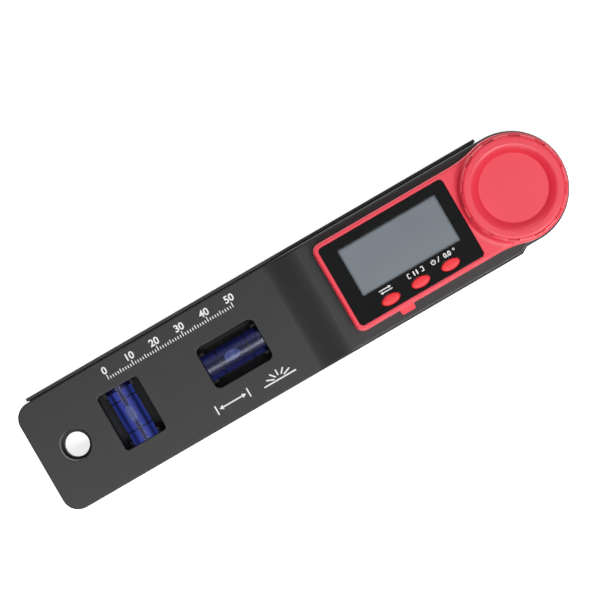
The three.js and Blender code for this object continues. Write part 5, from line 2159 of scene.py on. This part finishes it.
@dataclass(frozen=True)
class Print:
    """Generic white marks: a short rule, signs of length and angle, and signs over the buttons."""

    buttons: Buttons
    plan: Plan = PLAN
    rule_start: float = -154.0
    rule_y: float = 12.9
    rule_ticks: int = 51
    tick_width: float = 0.34
    tick_short: float = 1.0
    tick_middle: float = 1.4
    tick_long: float = 1.9
    digit_height: float = 2.5
    digit_y: float = 15.2
    digit_weight: float = 0.09
    digit_share: float = 0.69  # of the font's size that a digit is high
    stroke_width: float = 0.34
    bold_width: float = 0.51
    head_spread: float = 0.55
    length_span: Point = (-127.0, -114.3)
    length_y: float = -15.3
    length_bar: float = 1.5
    angle_span: Point = (-108.6, -96.3)
    angle_y: float = -16.7
    angle_rays: tuple[int, ...] = (30, 60, 90, 120, 150)
    ray_span: Point = (1.6, 3.4)
    ray_stretch: float = 1.5
    sign_y: float = -8.35
    swap_arrow: Place = (2.3, 0.5, 1.0)  # half its length, its distance from the row, and its head
    hold_bar: Place = (0.6, 0.65, 0.5)  # its distance from the middle, half its height, and its width
    hold_bracket: Place = (2.3, 3.0, 0.75)  # where it starts, how far out it runs, and half its height
    power_shift: float = -0.5
    power_ring: Place = (-4.3, -0.05, 0.75)  # its place and its radius
    power_gap: Point = (125, 415)
    power_bar: Point = (0.1, 0.8)
    slash: tuple[Point, Point] = ((-2.6, -0.75), (-1.8, 0.75))
    zero: Place = (1.2, -0.8, 1.6)  # its place and its height
    degree_ring: Place = (4.0, 0.5, 0.33)  # its place and its radius
    degree_width: float = 0.22

    def flat(self, outline: Outline, face: float) -> Solid:
        """A flat sign of ink on a face."""
        return Solid.prism(outline, face + INK_FOOT, face + INK)

    def ticks(self) -> Solid:
        """The ticks of the short rule, one a millimetre.

        Returns:
            The ticks.
        """
        half = self.tick_width / 2
        tick = self.flat([(-half, 0), (half, 0), (half, 1), (-half, 1)], self.plan.tail_top)
        pattern = Pattern("rule_ticks")
        line = pattern.add("GeometryNodeMeshLine", {
            "Count": pattern.count("Tick Count", self.rule_ticks),
            "Start Location": (self.rule_start * MM, self.rule_y * MM, 0.0),
            "Offset": pattern.add("ShaderNodeCombineXYZ", {"X": pattern.size("Tick Pitch", MM)}),
        })
        index = pattern.add("GeometryNodeInputIndex")

        def maths(operation: str, first: Any, second: Any) -> Any:
            """The result of one sum on sockets or numbers."""
            return pattern.add("ShaderNodeMath", {0: first, 1: second}, operation=operation)

        def chosen(every: float, yes: Any, no: Any) -> Any:
            """One length at every so many ticks, and another between them."""
            hit = maths("LESS_THAN", maths("MODULO", index, every), 0.5)
            return maths("ADD", maths("MULTIPLY", maths("SUBTRACT", yes, no), hit), no)

        short = pattern.size("Short Tick", self.tick_short)
        middle = pattern.size("Middle Tick", self.tick_middle)
        tall = chosen(10.0, pattern.size("Long Tick", self.tick_long), chosen(5.0, middle, short))
        copies = pattern.add("GeometryNodeInstanceOnPoints", {
            "Points": line, "Instance": pattern.shape("Tick", tick),
            "Scale": pattern.add("ShaderNodeCombineXYZ", {"X": 1.0, "Y": tall, "Z": 1.0}),
        })
        return pattern.run(tick, copies, WHITE_PRINT)

    def digits(self, text: str, place: Point, height: float, face: float) -> Solid:
        """Plain digits of ink on a face.

        Args:
            text: The digits.
            place: Middle of their foot.
            height: Height of a digit.
            face: Height of the face that carries them.

        Returns:
            The digits as a thin solid.
        """
        curve = bpy.data.curves.new("digits", "FONT")
        curve.body = text
        curve.size = height * MM / self.digit_share
        curve.align_x = "CENTER"
        curve.extrude = (INK - INK_FOOT) * MM / 2
        curve.offset = self.digit_weight * MM
        carrier = linked("digits", curve)
        mesh = evaluated_mesh(carrier)
        bpy.data.objects.remove(carrier)
        return Solid(mesh).placed(*place, face + (INK + INK_FOOT) / 2)

    def stroke(self, start: Point, end: Point, width: float, face: float) -> Solid:
        """A straight stroke of ink with rounded ends.

        Args:
            start: Where it starts.
            end: Where it ends.
            width: Its width.
            face: Height of the face that carries it.

        Returns:
            The stroke.
        """
        (x0, y0), (x1, y1) = start, end
        turn = math.degrees(math.atan2(y1 - y0, x1 - x0))
        tip = arc(x1, y1, width / 2, turn - 90, turn + 90, ROUND_STEPS)
        return self.flat(tip + arc(x0, y0, width / 2, turn + 90, turn + 270, ROUND_STEPS), face)

    def band(self, ring: Place, width: float, span: Point, face: float) -> Solid:
        """An arc of ink.

        Args:
            ring: Place and radius of its middle line.
            width: Its width.
            span: First and last angle in degrees.
            face: Height of the face that carries it.

        Returns:
            The arc.
        """
        x, y, radius = ring
        outer = arc(x, y, radius + width / 2, *span, SMALL_FACES)
        inner = arc(x, y, radius - width / 2, *span, SMALL_FACES)
        return self.flat(outer + inner[::-1], face)

    def arrow(self, tail: Point, tip: Point, head: float, width: float, face: float) -> Solid:
        """An arrow of ink.

        Args:
            tail: Where it starts.
            tip: Where it points.
            head: Length of its head.
            width: Width of its stroke.
            face: Height of the face that carries it.

        Returns:
            The arrow.
        """
        (x0, y0), (x1, y1) = tail, tip
        reach = math.hypot(x1 - x0, y1 - y0)
        ux, uy = (x1 - x0) / reach, (y1 - y0) / reach
        rx, ry = x1 - ux * head, y1 - uy * head
        wing = head * self.head_spread
        point = [(x1, y1), (rx - uy * wing, ry + ux * wing), (rx + uy * wing, ry - ux * wing)]
        inner = (rx + ux * width / 2, ry + uy * width / 2)
        return self.stroke(tail, inner, width, face).joined(self.flat(point, face))

    def length_sign(self) -> list[Solid]:
        """A double-headed arrow between two bars, the sign of a length.

        Returns:
            The bars and the arrow.
        """
        face, y, half, width = self.plan.tail_top, self.length_y, self.length_bar, self.bold_width
        left, right = self.length_span
        middle = ((left + right) / 2, y)
        bars = [self.stroke((x, y - half), (x, y + half), width, face) for x in (left, right)]
        one, other = (
            self.arrow(middle, (x, y), half, width, face) for x in (right - 2 * width, left + 2 * width)
        )
        return [*bars, one.joined(other)]

    def angle_sign(self) -> list[Solid]:
        """A base line with rays over it, the sign of an angle.

        Returns:
            The line and the rays.
        """
        face, low, width = self.plan.tail_top, self.angle_y, self.bold_width
        left, right = self.angle_span
        signs = [self.stroke((left, low), (right, low), width, face)]
        for turn in self.angle_rays:
            x, y = math.cos(math.radians(turn)), math.sin(math.radians(turn))
            near, far = (
                ((left + right) / 2 + self.ray_stretch * reach * x, low + reach * y)
                for reach in self.ray_span
            )
            signs.append(self.stroke(near, far, width, face))
        return signs

    def button_signs(self) -> list[Solid]:
        """Signs of change, hold, and power and zero over the three buttons.

        Returns:
            The signs.
        """
        face, y, width = self.plan.panel_top, self.sign_y, self.stroke_width
        change, hold, power = self.buttons.columns
        power += self.power_shift
        reach, row, head = self.swap_arrow
        bar, bar_half, bar_width = self.hold_bar
        start, out, half = self.hold_bracket
        signs = []
        for side in (-1, 1):
            level = y + side * row
            tail, tip = (change - side * reach, level), (change + side * reach, level)
            signs.append(self.arrow(tail, tip, head, width, face))
            x = hold + side * bar
            signs.append(self.stroke((x, y - bar_half), (x, y + bar_half), bar_width, face))
            near, far = hold + side * start, hold + side * out
            corners = [(near, y + half), (far, y + half), (far, y - half), (near, y - half)]
            first, *others = (self.stroke(*ends, width, face) for ends in zip(corners, corners[1:]))
            signs.append(first.joined(*others))
        ring_x, ring_y, ring = self.power_ring
        signs.append(self.band((power + ring_x, y + ring_y, ring), width, self.power_gap, face))
        lines = [[(ring_x, end) for end in self.power_bar], self.slash]
        for line in lines:
            signs.append(self.stroke(*((power + u, y + v) for u, v in line), width, face))
        zero_x, zero_y, height = self.zero
        signs.append(self.digits("0.0", (power + zero_x, y + zero_y), height, face))
        ring_x, ring_y, ring = self.degree_ring
        signs.append(self.band((power + ring_x, y + ring_y, ring), self.degree_width, (0, 359), face))
        return signs

    def build(self) -> None:
        """Makes and dresses the marks."""
        marks = [self.ticks()]
        for i in range(0, self.rule_ticks, 10):
            place = (self.rule_start + i, self.digit_y)
            marks.append(self.digits(str(i), place, self.digit_height, self.plan.tail_top))
        marks += self.length_sign() + self.angle_sign()
        finish_piece(gathered(marks), "rule_and_signs", WHITE_PRINT, Body.UPPER_ARM)
        finish_piece(gathered(self.button_signs()), "button_signs", WHITE_PRINT, Body.UPPER_ARM)


# Studio, in metres


@dataclass(frozen=True)
class Softbox:
    """An area light over the table, aimed at the middle of the tool."""

    name: str
    place: Place
    size: Point
    power: float

    def build(self, target: Vector) -> None:
        """Adds the light.

        Args:
            target: Where it is aimed.
        """
        light = bpy.data.lights.new(self.name, "AREA")
        light.shape = "RECTANGLE"
        light.size, light.size_y = self.size
        light.energy = self.power
        made = linked(self.name, light)
        made.location = self.place
        back = (Vector(self.place) - target).normalized()
        across = Vector((0, 1, 0)).cross(back).normalized()
        made.rotation_euler = Matrix((across, back.cross(across), back)).transposed().to_euler()


@dataclass(frozen=True)
class Paper(Finish):
    """White paper sweep, which gives back so much light that it looks nearly even."""

    name: str = "white_paper_sweep"
    slot: str = ""
    tone_mm: float = 60.0
    roughness: float = 0.9
    glow: float = 0.76

    def looks(self, tree: bpy.types.NodeTree) -> Inputs:
        """White with the faint blotches of paper.

        Args:
            tree: The material's tree.

        Returns:
            Values and sockets for the shader, by the input's name.
        """
        return {
            "Base Color": blend(tree, object_noise(tree, self.tone_mm, 2.0), "#fafafa", "#ffffff"),
            "Roughness": self.roughness,
            "Emission Color": srgb("#ffffff"),
            "Emission Strength": self.glow,
        }


@dataclass(frozen=True)
class Studio:
    """Pale floor, soft light from the lower side of the picture, and the camera overhead."""

    centre: Place = (-0.0828, 0.00345, 0.016)
    distance: float = 1.35
    turn: float = -30.15
    lens: float = 233.0
    sensor: float = 36.0
    far_clip: float = 20.0
    floor_half: float = 3.0
    floor_z: float = -0.0002
    sky: float = 0.27
    sky_dark: str = "#6a6b6c"
    sky_pale: str = "#fdfeff"
    sky_span: Point = (-0.62, -0.12)
    boxes: tuple[Softbox, ...] = (
        Softbox("key_softbox", (-0.7, -1.0, 1.1), (0.6, 0.6), 3.6),
        Softbox("top_softbox", (0.13, -0.72, 1.4), (0.4, 0.5), 8.9),
        Softbox("fill_softbox", (0.26, 1.0, 1.2), (0.6, 0.6), 3.0),
        Softbox("front_strip_left", (-0.41, -0.43, 1.5), (0.22, 0.14), 3.9),
        Softbox("front_strip_right", (0.1, -0.43, 1.5), (0.22, 0.14), 1.3),
        Softbox("left_strip", (-0.56, -0.01, 1.5), (0.09, 0.3), 0.7),
        Softbox("right_strip", (0.34, -0.01, 1.5), (0.09, 0.3), 1.1),
    )

    def floor(self) -> None:
        """A wide pale floor."""
        half, z = self.floor_half, self.floor_z
        mesh = bpy.data.meshes.new("floor")
        corners = [(-half, -half, z), (half, -half, z), (half, half, z), (-half, half, z)]
        mesh.from_pydata(corners, [], [(0, 1, 2, 3)])
        mesh.materials.append(Paper().material())
        made = linked("floor", mesh)

    def build(self) -> None:
        """Adds the floor, the light and the camera."""
        self.floor()
        scene = bpy.context.scene
        scene.view_settings.view_transform = "Standard"
        scene.world = bpy.data.worlds.new("studio")
        scene.world.use_nodes = True
        tree = scene.world.node_tree
        direction = add_node(tree, "ShaderNodeTexCoord")["Generated"]
        eastward = add_node(tree, "ShaderNodeSeparateXYZ", {0: direction})[0]
        colour = blend(tree, eastward, self.sky_dark, self.sky_pale, self.sky_span)
        connect(tree.nodes["Background"], {"Color": colour, "Strength": self.sky})
        for box in self.boxes:
            box.build(Vector(self.centre))
        view = bpy.data.cameras.new("camera")
        view.lens, view.sensor_width = self.lens, self.sensor
        view.clip_end = self.far_clip
        camera = linked("camera", view)
        camera.location = Vector(self.centre) + Vector((0, 0, self.distance))
        camera.rotation_euler = (0, 0, math.radians(self.turn))
        scene.camera = camera


def main() -> None:
    """Builds each sub-assembly in order."""
    logging.basicConfig(level=logging.INFO, format="%(name)s %(message)s")
    cross, along, buttons = PLAN.cross_window, PLAN.long_window, Buttons()
    LowerArm().build()
    UpperArm().build()
    Level(
        "cross_vial", cross.middle, cross.size[1] - 2 * SEAT_GAP, heading=90.0, bubble_shift=0.0,
        spirit=CROSS_SPIRIT,
    ).build()
    Level(
        "long_vial", along.middle, along.size[0] - 2 * SEAT_GAP, heading=0.0, bubble_shift=-0.8,
        spirit=LONG_SPIRIT,
    ).build()
    DisplayUnit(buttons).build()
    buttons.build()
    BatteryTray().build()
    LockKnob().build()
    Print(buttons).build()
    Studio().build()


if __name__ == "__main__":
    main()
